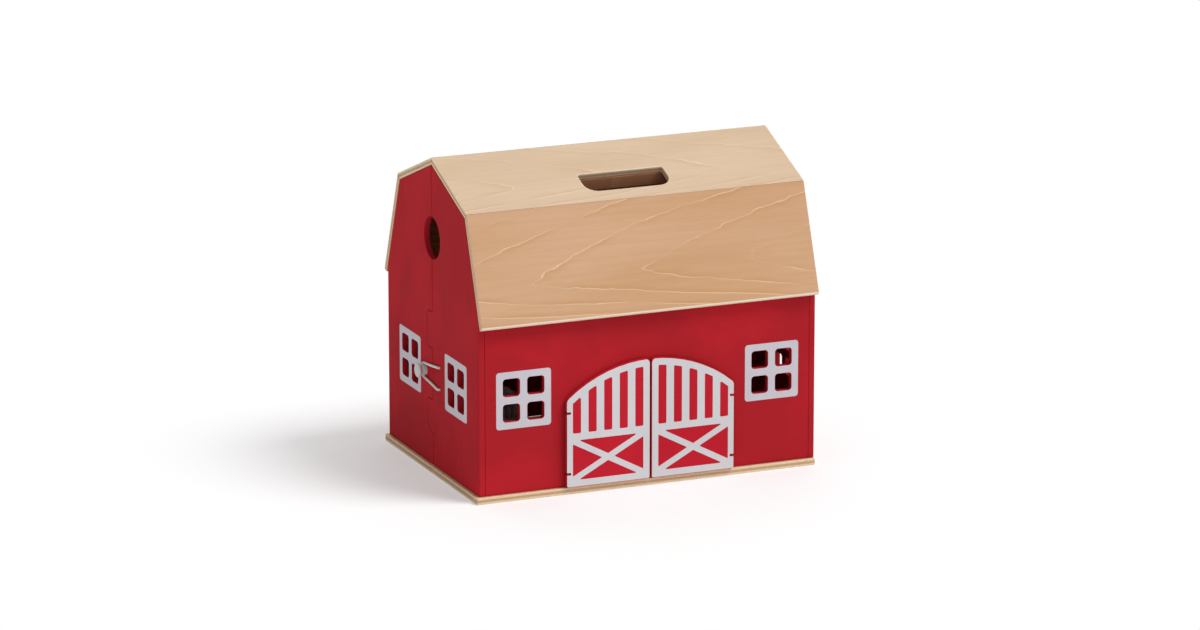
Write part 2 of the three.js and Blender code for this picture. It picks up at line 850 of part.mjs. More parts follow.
function stallPanel() {
  const left = -fenceLength / 2;
  const shoulder = fenceHeight - stallArcRise;
  const radius = (left ** 2 + stallArcRise ** 2) / (2 * stallArcRise);
  const topAt = (across) => fenceHeight - radius + Math.sqrt(radius ** 2 - across ** 2);
  const arch = Array.from({ length: archSteps + 1 }, (_, i) => {
    const across = left + (fenceLength * i) / archSteps;
    return [across, topAt(across)];
  });
  const outline = rounded([...arch, [-left, 0], [left, 0]]);
  const pitch = (fenceLength - 2 * stallBorder - stallSlotWidth) / (stallSlots - 1);
  const low = Math.min(stallSolidHeight, shoulder - stallBorder);
  const holes = Array.from({ length: stallSlots }, (_, i) => {
    const middle = left + stallBorder + stallSlotWidth / 2 + i * pitch;
    const edges = [middle - stallSlotWidth / 2, middle + stallSlotWidth / 2];
    return rounded([
      [edges[0], low, paintRound],
      [edges[1], low, paintRound],
      [edges[1], topAt(edges[1]) - stallBorder, paintRound],
      [edges[0], topAt(edges[0]) - stallBorder, paintRound],
    ]);
  });
  return join([upright(outline, holes), ...fenceFeet()]);
}

function trough() {
  const outer = new THREE.BoxGeometry(troughLength, troughDepth, troughHeight)
    .translate(0, 0, troughHeight / 2);
  const [innerLength, innerDepth] = [troughLength, troughDepth].map((size) => size - 2 * troughWall);
  const inner = new THREE.BoxGeometry(innerLength, innerDepth, troughHeight)
    .translate(0, 0, troughHeight / 2 + troughWall);
  return cut(outer, [inner]);
}

function addFittings() {
  const fenceMiddle = wallInner - fenceInset - fenceLength / 2;
  const troughMiddle = wallInner - fenceInset - troughDepth / 2;
  const z = wallBottom;
  addPiece('front_stall_panel', stallPanel(), whitePaint, { x: frontFencePlace, y: -fenceMiddle, z });
  addPiece('front_fence', picketFence(), whitePaint, { x: -frontFencePlace, y: -fenceMiddle, z });
  addPiece('front_trough', trough(), whitePaint, { x: frontTroughPlace, y: -troughMiddle, z });
  addPiece('back_stall_panel', stallPanel(), whitePaint, { x: -backFencePlace, y: fenceMiddle, z });
  addPiece('back_fence', picketFence(), whitePaint, { x: backFencePlace, y: fenceMiddle, z });
  addPiece('back_trough', trough(), whitePaint, { x: -backTroughPlace, y: troughMiddle, z });
}

// Front wall with its gate
function addFront() {
  const eyePlaces = [-1, 1].flatMap((side) => gateNotches.map((z) => [side * gateAxis, z]));
  const panes = [-1, 1].flatMap((side) => paneHoles(side * frontWindowPlace, windowHeight));
  const wall = board(frontWallOutline(), ply, [...panes, ...eyeHoles(eyePlaces)]);
  addPiece('front_wall', wall, redPaint, alongY(-wallFace, ply));
  addWindowPaint('front_left_window', { axis: 'y', at: -wallFace }, -frontWindowPlace);
  addWindowPaint('front_right_window', { axis: 'y', at: -wallFace }, frontWindowPlace);
  [['gate_left', -1], ['gate_right', 1]].forEach(([name, side]) => {
    addLeaf(name, gateLeafOutline(side), gateFields(side), gateSpan, side * gateAxis, -pinPlane, gateNotches);
  });
}

// Back wall with its stable door, hinged at its +X edge
function doorLeafOutline({ bottom, top }) {
  const edge = doorLeafWidth / 2;
  return rounded([
    [edge, top, leafRound],
    [-edge, top, leafRound],
    [-edge, bottom, leafRound],
    [edge, bottom, leafRound],
    ...notched(edge, -1, doorNotches({ bottom, top })),
  ]);
}

function addBack() {
  const notches = [doorLow, doorHigh].flatMap(doorNotches);
  const eyePlaces = notches.map((z) => [doorAxis, z]);
  const panes = [-1, 1].flatMap((side) => paneHoles(side * backWindowPlace, windowHeight));
  const wall = board(backWallOutline(), ply, [...panes, ...eyeHoles(eyePlaces)]);
  addPiece('back_wall', wall, redPaint, alongY(wallInner, ply));
  addWindowPaint('back_left_window', { axis: 'y', at: wallFace }, -backWindowPlace);
  addWindowPaint('back_right_window', { axis: 'y', at: wallFace }, backWindowPlace);
  const [left, right] = [-doorLeafWidth / 2 + doorFrame, doorLeafWidth / 2 - doorFrame];
  const lowFields = crossFields(left, right, doorLow.bottom + doorFrame, doorLow.top - doorFrame);
  const highTop = () => doorHigh.top - doorFrame;
  const highFields = stripes(left, right, doorStripes, doorHigh.bottom + doorFrame, highTop);
  const leaves = [['stable_lower', doorLow, lowFields], ['stable_upper', doorHigh, highFields]];
  leaves.forEach(([name, span, fields]) => {
    const pinSpan = { bottom: span.bottom, pinTop: span.top - pinTopMargin };
    addLeaf(name, doorLeafOutline(span), fields, pinSpan, doorAxis, pinPlane, doorNotches(span));
  });
}

[['front', -1], ['back', 1]].forEach(([prefix, side]) => {
  addFloorAndLoft(prefix, side);
  addGables(prefix, side);
  addRoof(prefix, side);
});
addFront();
addBack();
addHinges();
addLatch();
addFittings();

export default barn;
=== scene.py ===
import json
import math
from dataclasses import dataclass
from functools import partialmethod

import bmesh
import bpy
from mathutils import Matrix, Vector, geometry


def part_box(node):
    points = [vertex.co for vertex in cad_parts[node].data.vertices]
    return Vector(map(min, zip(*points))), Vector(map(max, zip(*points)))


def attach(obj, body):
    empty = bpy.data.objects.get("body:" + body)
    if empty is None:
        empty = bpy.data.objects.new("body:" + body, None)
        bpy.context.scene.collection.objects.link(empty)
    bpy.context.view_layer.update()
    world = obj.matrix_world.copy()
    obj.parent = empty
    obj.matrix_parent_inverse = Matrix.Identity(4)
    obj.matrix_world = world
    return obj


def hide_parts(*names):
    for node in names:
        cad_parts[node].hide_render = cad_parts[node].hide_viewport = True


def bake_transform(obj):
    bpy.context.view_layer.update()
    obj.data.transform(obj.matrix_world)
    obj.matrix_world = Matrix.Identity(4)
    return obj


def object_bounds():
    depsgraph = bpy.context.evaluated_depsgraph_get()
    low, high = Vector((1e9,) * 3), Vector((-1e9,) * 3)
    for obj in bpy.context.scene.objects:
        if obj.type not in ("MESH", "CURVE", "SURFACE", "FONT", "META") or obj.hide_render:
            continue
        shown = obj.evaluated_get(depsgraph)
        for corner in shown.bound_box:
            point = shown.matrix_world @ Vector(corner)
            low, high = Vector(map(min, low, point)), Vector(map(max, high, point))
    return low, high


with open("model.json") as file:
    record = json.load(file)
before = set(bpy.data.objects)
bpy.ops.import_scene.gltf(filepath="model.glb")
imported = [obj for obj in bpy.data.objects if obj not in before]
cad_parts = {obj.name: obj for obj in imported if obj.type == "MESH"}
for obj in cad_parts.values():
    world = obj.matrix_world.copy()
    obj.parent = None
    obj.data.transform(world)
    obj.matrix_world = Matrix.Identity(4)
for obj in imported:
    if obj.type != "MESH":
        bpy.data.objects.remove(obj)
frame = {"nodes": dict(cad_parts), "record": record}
cad_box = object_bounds()
nodes = frame["nodes"]
record = frame["record"]
body_of = {node: body for body, members in record["behaviour"]["bodies"].items() for node in members}
slot_of = {row["node"]: row["material_slot"] for row in record["subparts"]}
joint_of = {joint["name"]: joint for joint in record["behaviour"]["joints"]}
barn_middle = (cad_box[0] + cad_box[1]) / 2

MM = 0.001
X, Y, Z = Vector((1, 0, 0)), Vector((0, 1, 0)), Vector((0, 0, 1))
FLAT_AXES = (Vector((1, 0)), Vector((0, 1)))
PLAN_AXES = (X, Y, Z)
GABLE_AXES = (Y, Z, X)

# Reading the model's meshes
WELD = 0.001 * MM
PLANE = 0.02 * MM
ALIGNED = 0.999
FLAT_TURN = math.radians(0.6)
ARC_TURN = math.radians(48)
ARC_RATIO = 1.5
SHARP_ANGLE = math.radians(38)

# Fineness of round shapes
FINE_TURN = math.radians(6)
EASE_TURN = math.radians(15)
EASE_REACH_SHARE = 0.35
MITRE_LIMIT = 0.5
CORNER_STEPS = 4
EASE_STEPS = 3
ROUND_SIDES = 48
WIRE_SIDES = 14
KNOB_STEPS = 6
LOOP_STEPS = 8
KNOT_STEPS = 60

# Eased edges and rounded corners
BOARD_EASE = 0.5 * MM
BOARD_CORNER = 0.8 * MM
GABLE_EASE = 0.9 * MM
ROOF_EASE = 0.3 * MM
SLOT_EASE = 0.9 * MM
GRIP_EASE = 1.2 * MM
EAVE_ROUND = 2.1 * MM
EAVE_INNER_ROUND = 0.8 * MM
BREAK_ROUND = 0.3 * MM
LEAF_EASE = 0.45 * MM
LEAF_CORNER = 0.7 * MM
FENCE_EASE = 0.8 * MM
FENCE_CORNER = 1.2 * MM

# Printed layers
PRINT_EASE = 0.03 * MM
PRINT_CORNER = 0.45 * MM
PRINT_HEIGHT = 0.12 * MM
PRINT_SINK = 0.05 * MM
FIELD_SPREAD = 0.3 * MM

# Hinges, pins and screws
HINGE_PLATE = 0.9 * MM
HINGE_EASE = 0.18 * MM
HINGE_CORNER = 1.2 * MM
PIN_GAP = 0.3 * MM
PIN_RIM = 0.8 * MM
SCREW_SPACING = 16 * MM
SCREW_HEAD = 2.3 * MM
SCREW_RISE = 0.28 * MM
SCREW_SHANK = 1.0 * MM
SCREW_LENGTH = 6.2 * MM
SCREW_POINT = 2.0 * MM
CROSS_REACH = 1.35 * MM
CROSS_WIDTH = 0.5 * MM
EYE_WIRE = 0.45 * MM
EYE_RING = 1.25 * MM

# Elastic loop
ELASTIC_RADIUS = 1.2 * MM
KNOT_RADIUS = 2.6 * MM
KNOT_CORD = 0.85 * MM
LOOP_BEND = 2.2 * MM
BRAID_PITCH = 1.5 * MM
BRAID_STRANDS = 6

# Turned profiles, as shares of the way along and of the radius
KNOB_NECK_SHARES = [(0.0, 1.0), (0.3, 1.0), (0.5, 1.02)]
KNOB_FLARE_SHARE = 0.57
KNOB_HEAD_SHARES = [(0.64, 0.93), (0.74, 1.0), (0.85, 0.92), (0.94, 0.66), (0.985, 0.34), (1.0, 0.0)]
PIN_DOME_SHARES = [(1.0, 1.0), (0.55, 0.99), (0.2, 0.78), (0.05, 0.45), (0.0, 0.0)]


# Outlines in a board's own plane

def turn_at(before, here, after):
    into, out = here - before, after - here
    return math.atan2(into.cross(out), into.dot(out))


def with_neighbours(points):
    """Each point of an outline, between the one before it and the one after it."""
    return zip(points[-1:] + points[:-1], points, points[1:] + points[:1])


def enclosed(points):
    """The area inside an outline, negative where it runs clockwise."""
    return sum(a.cross(b) for a, b in zip(points, points[1:] + points[:1])) / 2


def centre_of(points):
    return Vector([sum(values) / len(points) for values in zip(*points)])


def trimmed(points):
    """Leaves out repeated points and points on a straight edge."""
    kept = list(points)
    changed = True
    while changed:
        changed = False
        for i, (before, here, after) in enumerate(with_neighbours(kept)):
            if (here - before).length < WELD or abs(turn_at(before, here, after)) < FLAT_TURN:
                kept.pop(i)
                changed = True
                break
    return kept


def circle_centre(a, b, c):
    ab, ac = b - a, c - a
    double = 2 * ab.cross(ac)
    across = (ac.y * ab.length_squared - ab.y * ac.length_squared) / double
    up = (ab.x * ac.length_squared - ac.x * ab.length_squared) / double
    return a + Vector((across, up))


def turned(spot, angle):
    cos, sin = math.cos(angle), math.sin(angle)
    return Vector((spot.x * cos - spot.y * sin, spot.x * sin + spot.y * cos))


def swung(centre, start, end, share):
    """A point on the arc about centre from start to end."""
    here, there = start - centre, end - centre
    angle = math.atan2(here.cross(there), here.dot(there)) * share
    return centre + turned(here, angle)


def curved(start, corner, end, share):
    return start * (1 - share) ** 2 + corner * (2 * share * (1 - share)) + end * share ** 2


def eased_corner(before, here, after, turn, corner):
    back, ahead = before - here, after - here
    longest = EASE_REACH_SHARE * min(back.length, ahead.length)
    reach = min(corner * math.tan(abs(turn) / 2), longest)
    start, end = here + back.normalized() * reach, here + ahead.normalized() * reach
    return [curved(start, here, end, step / CORNER_STEPS) for step in range(CORNER_STEPS + 1)]


def refined(points, corner):
    """The outline with its faceted arcs made round again and its sharp corners eased."""
    points = trimmed(points)
    turns, centres = [], []
    for before, here, after in with_neighbours(points):
        turn = turn_at(before, here, after)
        short, long = sorted([(here - before).length, (after - here).length])
        on_arc = abs(turn) < ARC_TURN and long < ARC_RATIO * short
        turns.append(turn)
        centres.append(circle_centre(before, here, after) if on_arc else None)
    result = []
    rows = zip(with_neighbours(points), with_neighbours(centres), turns)
    for (before, here, after), (last, centre, following), turn in rows:
        touching = any(spot is not None for spot in (last, centre, following))
        sharp = centre is None and abs(turn) > (ARC_TURN if touching else EASE_TURN)
        if sharp and corner:
            result += eased_corner(before, here, after, turn, corner)
        else:
            result.append(here)
        arcs = [spot for spot in (centre, following) if spot is not None]
        if not arcs:
            continue
        radius = (here - arcs[0]).length
        steps = math.ceil((after - here).length / (radius * FINE_TURN))
        for step in range(1, steps):
            share = step / steps
            spots = [swung(middle, here, after, share) for middle in arcs]
            result.append(spots[0].lerp(spots[-1], share))
    return result


def inset(points, distance):
    """The outline moved to its left, into the material."""
    result = []
    for before, here, after in with_neighbours(points):
        into, out = (here - before).normalized(), (after - here).normalized()
        left_in, left_out = Vector((-into.y, into.x)), Vector((-out.y, out.x))
        middle = (left_in + left_out).normalized()
        result.append(here + middle * (distance / max(middle.dot(left_in), MITRE_LIMIT)))
    return result


def rectangle(low, high):
    return [Vector(low), Vector((high[0], low[1])), Vector(high), Vector((low[0], high[1]))]


def circle(middle, radius, axes=FLAT_AXES, sides=ROUND_SIDES):
    """Points on a circle in the plane of two axes."""
    side, other = axes
    angles = [math.tau * i / sides for i in range(sides)]
    return [middle + radius * (side * math.cos(angle) + other * math.sin(angle)) for angle in angles]


# Solids

class Shape:
    """Closed solids gathered into one mesh, with a material slot for each face."""

    def __init__(self):
        self.mesh = bmesh.new()
        self.uv = self.mesh.loops.layers.uv.new("UVMap")

    def ring(self, points):
        return [self.mesh.verts.new(point) for point in points]

    def face(self, corners, slot=0, places=None):
        made = self.mesh.faces.new(corners)
        made.material_index = slot
        made.smooth = True
        if places:
            for loop, place in zip(made.loops, places):
                loop[self.uv].uv = place

    def strip(self, first, second, slot=0, rows=None):
        """Joins two rings. slot is a material slot, or a list with one for each edge of the ring."""
        count = len(first)
        for i in range(count):
            after = (i + 1) % count
            here = slot[i] if isinstance(slot, list) else slot
            places = None
            if rows:
                left, right = i / count, (i + 1) / count
                places = [(left, rows[0]), (left, rows[1]), (right, rows[1]), (right, rows[0])]
            self.face([first[i], second[i], second[after], first[after]], here, places)

    def cap(self, loops, slot):
        """Fills the first loop around the others. Each is a ring and its outline."""
        corners = [corner for ring, _ in loops for corner in ring]
        flat = [[spot.to_3d() for spot in outline] for _, outline in loops]
        for triangle in geometry.tessellate_polygon(flat):
            self.face([corners[i] for i in triangle], slot)

    def prism(self, pairs, axes, span, ease, hole_ease=None, face_slot=0, edge_slot=0):
        """A board with eased edges between pairs of outlines, top and bottom: its rim, then its holes.

        span is (top, bottom) along the normal. ease goes for the holes too where they have none of their
        own. edge_slot may be a list, with a slot for each edge of the outline.
        """
        across, up, normal = axes

        def place(outline, height):
            return [across * spot.x + up * spot.y + normal * height for spot in outline]

        tops, bottoms = [], []
        for number, (top, bottom) in enumerate(pairs):
            width = hole_ease if number and hole_ease is not None else ease
            steps = EASE_STEPS if width else 0
            shares = [step / max(steps, 1) for step in range(steps + 1)]
            ends = []
            for outline, other, height, away in ((top, bottom, *span), (bottom, top, *span[::-1])):
                flat = inset(outline, width)
                inner, rim, far = place(flat, height), place(outline, height), place(other, away)
                side = [here + (there - here).normalized() * width for here, there in zip(rim, far)]
                spots = list(zip(inner, rim, side))
                rings = [self.ring(curved(*spot, share) for spot in spots) for share in shares]
                ends.append((rings, flat))
            (upper, upper_flat), (lower, lower_flat) = ends
            chain = upper + lower[::-1]
            for first, second in zip(chain, chain[1:]):
                self.strip(first, second, edge_slot)
            tops.append((upper[0], upper_flat))
            bottoms.append((lower[0], lower_flat))
        self.cap(tops, face_slot)
        self.cap(bottoms, face_slot)

    def block(self, outlines, axes, span, ease, **slots):
        """A prism with the same outlines on both faces."""
        self.prism([(outline, outline) for outline in outlines], axes, span, ease, **slots)

    def lathe(self, origin, axis, profile, sides=ROUND_SIDES):
        """A turned solid. The profile is (along, radius), and each end is on the axis or cut flat."""
        side = axis.orthogonal().normalized()
        axes = (side, axis.cross(side))
        rings = []
        for along, radius in profile:
            middle = origin + axis * along
            rings.append(self.ring([middle] if radius < WELD else circle(middle, radius, axes, sides)))
        for first, second in zip(rings, rings[1:]):
            if len(first) == len(second):
                self.strip(first, second)
                continue
            (tip,), rim = sorted([first, second], key=len)
            for i, corner in enumerate(rim):
                self.face([tip, corner, rim[(i + 1) % sides]])
        for end in (rings[0], rings[-1]):
            if len(end) > 1:
                self.face(end)

    def tube(self, points, radius, closed=False):
        """A round tube along points, with its length in the second UV direction."""
        count = len(points)
        directions = []
        for i, here in enumerate(points):
            before = points[i - 1] if i or closed else here
            after = points[(i + 1) % count] if i < count - 1 or closed else here
            directions.append((after - before).normalized())
        side = directions[0].orthogonal().normalized()
        rings, rows = [], []
        run, previous = 0.0, points[0]
        for here, direction in zip(points, directions):
            side = (side - direction * side.dot(direction)).normalized()
            run += (here - previous).length
            previous = here
            rings.append(self.ring(circle(here, radius, (side, direction.cross(side)), WIRE_SIDES)))
            rows.append(run)
        for i in range(count - 1):
            self.strip(rings[i], rings[i + 1], rows=(rows[i], rows[i + 1]))
        if closed:
            first, last = rings[0], rings[-1]
            starts = [first[start:] + first[:start] for start in range(WIRE_SIDES)]
            near = min(starts, key=lambda ring: sum((a.co - b.co).length for a, b in zip(last, ring)))
            self.strip(last, near, rows=(run, run + radius))
        else:
            self.face(rings[0])
            self.face(rings[-1])

    def finish(self, name):
        bmesh.ops.recalc_face_normals(self.mesh, faces=self.mesh.faces)
        data = bpy.data.meshes.new(name)
        self.mesh.to_mesh(data)
        self.mesh.free()
        data.set_sharp_from_angle(angle=SHARP_ANGLE)
        return data


def add_object(name, data):
    made = bpy.data.objects.new(name, data)
    bpy.context.scene.collection.objects.link(made)
    return made


def add_piece(name, shape, materials, slot, flat_faces=True):
    """flat_faces shades wide faces as flat, and leaves the turn of the light to their eased edges."""
    data = shape.finish(name)
    for material in materials:
        data.materials.append(material)
    piece = add_object(name, data)
    if flat_faces:
        piece.modifiers.new("even_shading", "WEIGHTED_NORMAL").keep_sharp = True
    return piece


def dress(node, shape, *materials):
    """Puts a finished piece in the place of a node of the model."""
    piece = add_piece(f"{node}_piece", shape, materials, slot_of[node])
    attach(piece, body_of[node])
    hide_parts(node)


# Reading a board from the model

def main_normal(mesh):
    """The normal of the widest of the faces that look the way most of the surface does."""
    totals = {}
    for face in mesh.faces:
        key = tuple(round(part, 2) for part in face.normal)
        area, widest = totals.get(key, (0.0, face))
        totals[key] = (area + face.calc_area(), max(widest, face, key=lambda one: one.calc_area()))
    return max(totals.values(), key=lambda entry: entry[0])[1].normal.copy()


class Board:
    """The outlines of a flat board of the model, seen from outside the barn."""

    def __init__(self, node):
        mesh = bmesh.new()
        mesh.from_mesh(nodes[node].data)
        bmesh.ops.remove_doubles(mesh, verts=mesh.verts, dist=WELD)
        mesh.normal_update()
        low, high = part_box(node)
        normal = main_normal(mesh)
        if normal.dot((low + high) / 2 - barn_middle) < 0:
            normal.negate()
        reference = Y if abs(normal.z) > ALIGNED else Z
        across = reference.cross(normal).normalized()
        self.axes = (across, normal.cross(across), normal)
        self.top = self.face_height(mesh, 1)
        self.bottom = self.face_height(mesh, -1)
        self.top_loops = self.loops(mesh, self.top, 1)
        self.bottom_loops = self.loops(mesh, self.bottom, -1)
        mesh.free()

    def face_height(self, mesh, sense):
        """Where the widest face lies along the normal, of those that look along or against it."""
        normal = self.axes[2]
        totals = {}
        for face in mesh.faces:
            if face.normal.dot(normal) * sense > ALIGNED:
                height = round(face.calc_center_median().dot(normal) / PLANE)
                area, _ = totals.get(height, (0.0, 0.0))
                totals[height] = (area + face.calc_area(), face.verts[0].co.dot(normal))
        return max(totals.values())[1]

    def loops(self, mesh, height, sense):
        """The outlines of the flat face at a height: its rim, then its holes, which run clockwise."""
        across, up, normal = self.axes
        inside = {
            face for face in mesh.faces
            if all(abs(corner.co.dot(normal) - height) < PLANE for corner in face.verts)
        }
        ahead = {}
        for face in inside:
            for loop in face.loops:
                if not any(other in inside and other is not face for other in loop.edge.link_faces):
                    ahead[loop.vert] = loop.link_loop_next.vert
        found = []
        while ahead:
            corner = next(iter(ahead))
            walk = []
            while corner in ahead:
                walk.append(Vector((corner.co.dot(across), corner.co.dot(up))))
                corner = ahead.pop(corner)
            found.append(walk if sense > 0 else walk[::-1])
        return sorted(found, key=lambda walk: -abs(enclosed(walk)))

    def pairs(self, corner):
        """Matches each outline of the outer face with its outline on the inner face."""
        bottoms = [refined(loop, corner) for loop in self.bottom_loops]
        result = []
        for loop in self.top_loops:
            top = refined(loop, corner)
            middle = centre_of(top)
            same = [other for other in bottoms if len(other) == len(top)]
            near = min(same, key=lambda other: (centre_of(other) - middle).length)
            start = min(range(len(near)), key=lambda i: (near[i] - top[0]).length)
            result.append((top, near[start:] + near[:start]))
        return result

    def solid(self, corner, ease, **settings):
        """The board with rounded corners and eased edges."""
        shape = Shape()
        shape.prism(self.pairs(corner), self.axes, (self.top, self.bottom), ease, **settings)
        return shape


# Material nodes

NOISE_LEVELS = (0.3, 0.7)


def linear(level):
    return level / 12.92 if level <= 0.04045 else ((level + 0.055) / 1.055) ** 2.4


def colour(red, green, blue):
    """A colour from its values on a screen, 0 to 255."""
    return (*(linear(part / 255) for part in (red, green, blue)), 1.0)


class Nodes:
    """Short ways to add nodes to a material or a world."""

    def __init__(self, owner):
        owner.use_nodes = True
        self.tree = owner.node_tree

    def node(self, kind, inputs, output=0, **settings):
        made = self.tree.nodes.new(kind)
        for key, value in settings.items():
            setattr(made, key, value)
        for key, value in inputs.items():
            if isinstance(value, bpy.types.NodeSocket):
                self.tree.links.new(value, made.inputs[key])
            else:
                made.inputs[key].default_value = value
        return made.outputs[output]

    def math(self, operation, *values):
        return self.node("ShaderNodeMath", dict(enumerate(values)), operation=operation)

    plus = partialmethod(math, "ADD")
    minus = partialmethod(math, "SUBTRACT")
    times = partialmethod(math, "MULTIPLY")
    over = partialmethod(math, "DIVIDE")

    def link(self, value, shader, socket):
        self.tree.links.new(value, shader.inputs[socket])

    def stretched(self, u, v, along, across, seed):
        """A place in a texture that is drawn out along u or v."""
        inputs = {"X": self.times(u, along), "Y": self.times(v, across), "Z": seed}
        return self.node("ShaderNodeCombineXYZ", inputs)

    def noise(self, vector, scale=1.0, detail=2.0, roughness=0.5, distortion=0.0):
        inputs = {
            "Vector": vector, "Scale": scale, "Detail": detail,
            "Roughness": roughness, "Distortion": distortion,
        }
        return self.node("ShaderNodeTexNoise", inputs, "Fac")

    def band(self, value, start, end, low=0.0, high=1.0):
        """low up to start, high from end on, and smooth between them."""
        inputs = {"Value": value, "From Min": start, "From Max": end, "To Min": low, "To Max": high}
        return self.node("ShaderNodeMapRange", inputs, interpolation_type="SMOOTHSTEP")

    def spread(self, noise, low=0.0, high=1.0):
        """The levels that a noise mostly has, spread over low to high."""
        return self.band(noise, *NOISE_LEVELS, low, high)

    def mix(self, share, first, second):
        return self.node("ShaderNodeMixRGB", {"Fac": share, "Color1": first, "Color2": second})

    def brighter(self, tint, value):
        return self.node("ShaderNodeHueSaturation", {"Color": tint, "Value": value})

    def plain_rays(self):
        """1 for the rays that see the background: from the camera, a reflection or clear glass."""
        seen = 0.0
        for ray in ("Is Camera Ray", "Is Glossy Ray", "Is Transmission Ray"):
            seen = self.math("MAXIMUM", seen, self.node("ShaderNodeLightPath", {}, ray))
        return seen


class Graph(Nodes):
    """A procedural material."""

    def __init__(self, name, roughness, metallic=0.0, specular=0.5):
        self.material = bpy.data.materials.new(name)
        super().__init__(self.material)
        self.shader = self.tree.nodes["Principled BSDF"]
        self.shader.inputs["Roughness"].default_value = roughness
        self.shader.inputs["Metallic"].default_value = metallic
        self.shader.inputs["Specular IOR Level"].default_value = specular
        self.spot = self.node("ShaderNodeTexCoord", {}, "Object")

    def along(self, direction):
        inputs = {0: self.spot, 1: tuple(direction)}
        return self.node("ShaderNodeVectorMath", inputs, "Value", operation="DOT_PRODUCT")

    def paint(self, tint):
        self.link(tint, self.shader, "Base Color")

    def rough(self, value):
        self.link(value, self.shader, "Roughness")

    def bump(self, height, distance, strength):
        inputs = {"Height": height, "Distance": distance, "Strength": strength}
        self.link(self.node("ShaderNodeBump", inputs), self.shader, "Normal")


# Wood

# Each noise of the wood: cycles a metre along and across the grain, seed step, detail and roughness
WOOD_NOISES = {
    "drift": (4.0, 1.5, 1, 2, 0.5), "wobble": (7.0, 16.0, 3, 2, 0.5),
    "crinkle": (60.0, 110.0, 5, 2, 0.5), "presence": (11.0, 30.0, 4, 2, 0.5),
    "broad": (5.0, 20.0, 9, 3, 0.5), "streak": (9.0, 260.0, 13, 3, 0.6),
    "fibre": (70.0, 2600.0, 21, 2, 0.6), "fleck": (420.0, 3400.0, 27, 2, 0.5),
}

# The figure's flames. On each side of their middle line they trail by an arm: its (lean, bend).
FIGURE_SWING_SHARE = 0.45
FIGURE_DRIFT = 20 * MM
FLAME_SPACING = 105 * MM
FLAME_WOBBLE = 50 * MM
FLAME_CRINKLE = 22 * MM
UPPER_ARM = (1.3, 26.0)
LOWER_ARM = (3.2, 110.0)
FADE_STRETCH = (8.0, 26.0)
PRESENCE_LEVELS = (0.36, 0.58)
FLECK_LEVELS = (0.66, 0.76)
LEAST_PRESENCE = 0.1
LINE_WIDTH = 1.2 * MM
GOLDEN_WIDTH = 6.5 * MM

WARM_WOOD = {
    "light": colour(203, 162, 128), "dark": colour(196, 153, 113), "golden": colour(190, 141, 93),
    "line": colour(226, 197, 162), "fleck": colour(174, 130, 92),
}
# A paler, less saturated copy of the warm veneer for the upper roof boards: a painted highlight for the
# brighter light and sheen on the roof's top
TOP_HIGHLIGHT_WOOD = {
    "light": colour(207, 181, 153), "dark": colour(200, 172, 142), "golden": colour(196, 162, 124),
    "line": colour(220, 200, 175), "fleck": colour(184, 151, 118),
}
BEECH = {
    "light": colour(208, 150, 114), "dark": colour(196, 138, 102), "golden": colour(188, 126, 88),
    "line": colour(218, 166, 130), "fleck": colour(160, 104, 74),
}
FIGURE_SHARES = {"golden": 0.5, "line": 0.9, "fleck": 0.3}
VENEER_SWING = 0.025
GRAIN_DEPTH = 0.02 * MM

PLY_LAYERS = 3
EDGE_LIGHT = colour(226, 202, 170)
EDGE_DARK = colour(194, 160, 122)
# Paler tone near both faces of a ply edge: partly the lighter outer veneers, partly a painted highlight
# for the light their eased rims catch
EDGE_RIM_HIGHLIGHT = colour(229, 208, 182)
GLUE_LINE = colour(150, 114, 80)
GLUE_SHARE = 0.35
LAYER_WANDER_SHARE = 0.05
EDGE_DEPTH = 0.03 * MM
# Pale cream tones of the rounded eave: partly wear, partly a painted highlight of the light the rounding
# catches
WORN_HIGHLIT_DARK = colour(224, 206, 184)
WORN_HIGHLIT_LIGHT = colour(232, 216, 196)


@dataclass
class Grain:
    """The directions along and across the grain, and where its figure lies.

    axis is how far the middle line of the flames is from the middle, and pointing is the end that they
    point to, -1 or 1.
    """

    directions: tuple
    seed: float
    middle: tuple = (0.0, 0.0)
    axis: float = 0.0
    pointing: int = 1


def board_grain(board, seed, upright=False, axis_share=None, pointing=None):
    across, up, _ = board.axes
    corners = board.top_loops[0]
    middle = centre_of(corners)
    half = [max(abs(spot[i] - middle[i]) for spot in corners) for i in (0, 1)]
    along, aside = (1, 0) if upright else (0, 1)
    if axis_share is None:
        axis_share = FIGURE_SWING_SHARE * math.sin(seed)
    return Grain(
        directions=(board.axes[along], board.axes[aside]),
        seed=seed,
        middle=(middle[along], middle[aside]),
        axis=axis_share * half[aside],
        pointing=pointing or (1 if math.cos(3 * seed) > 0 else -1),
    )


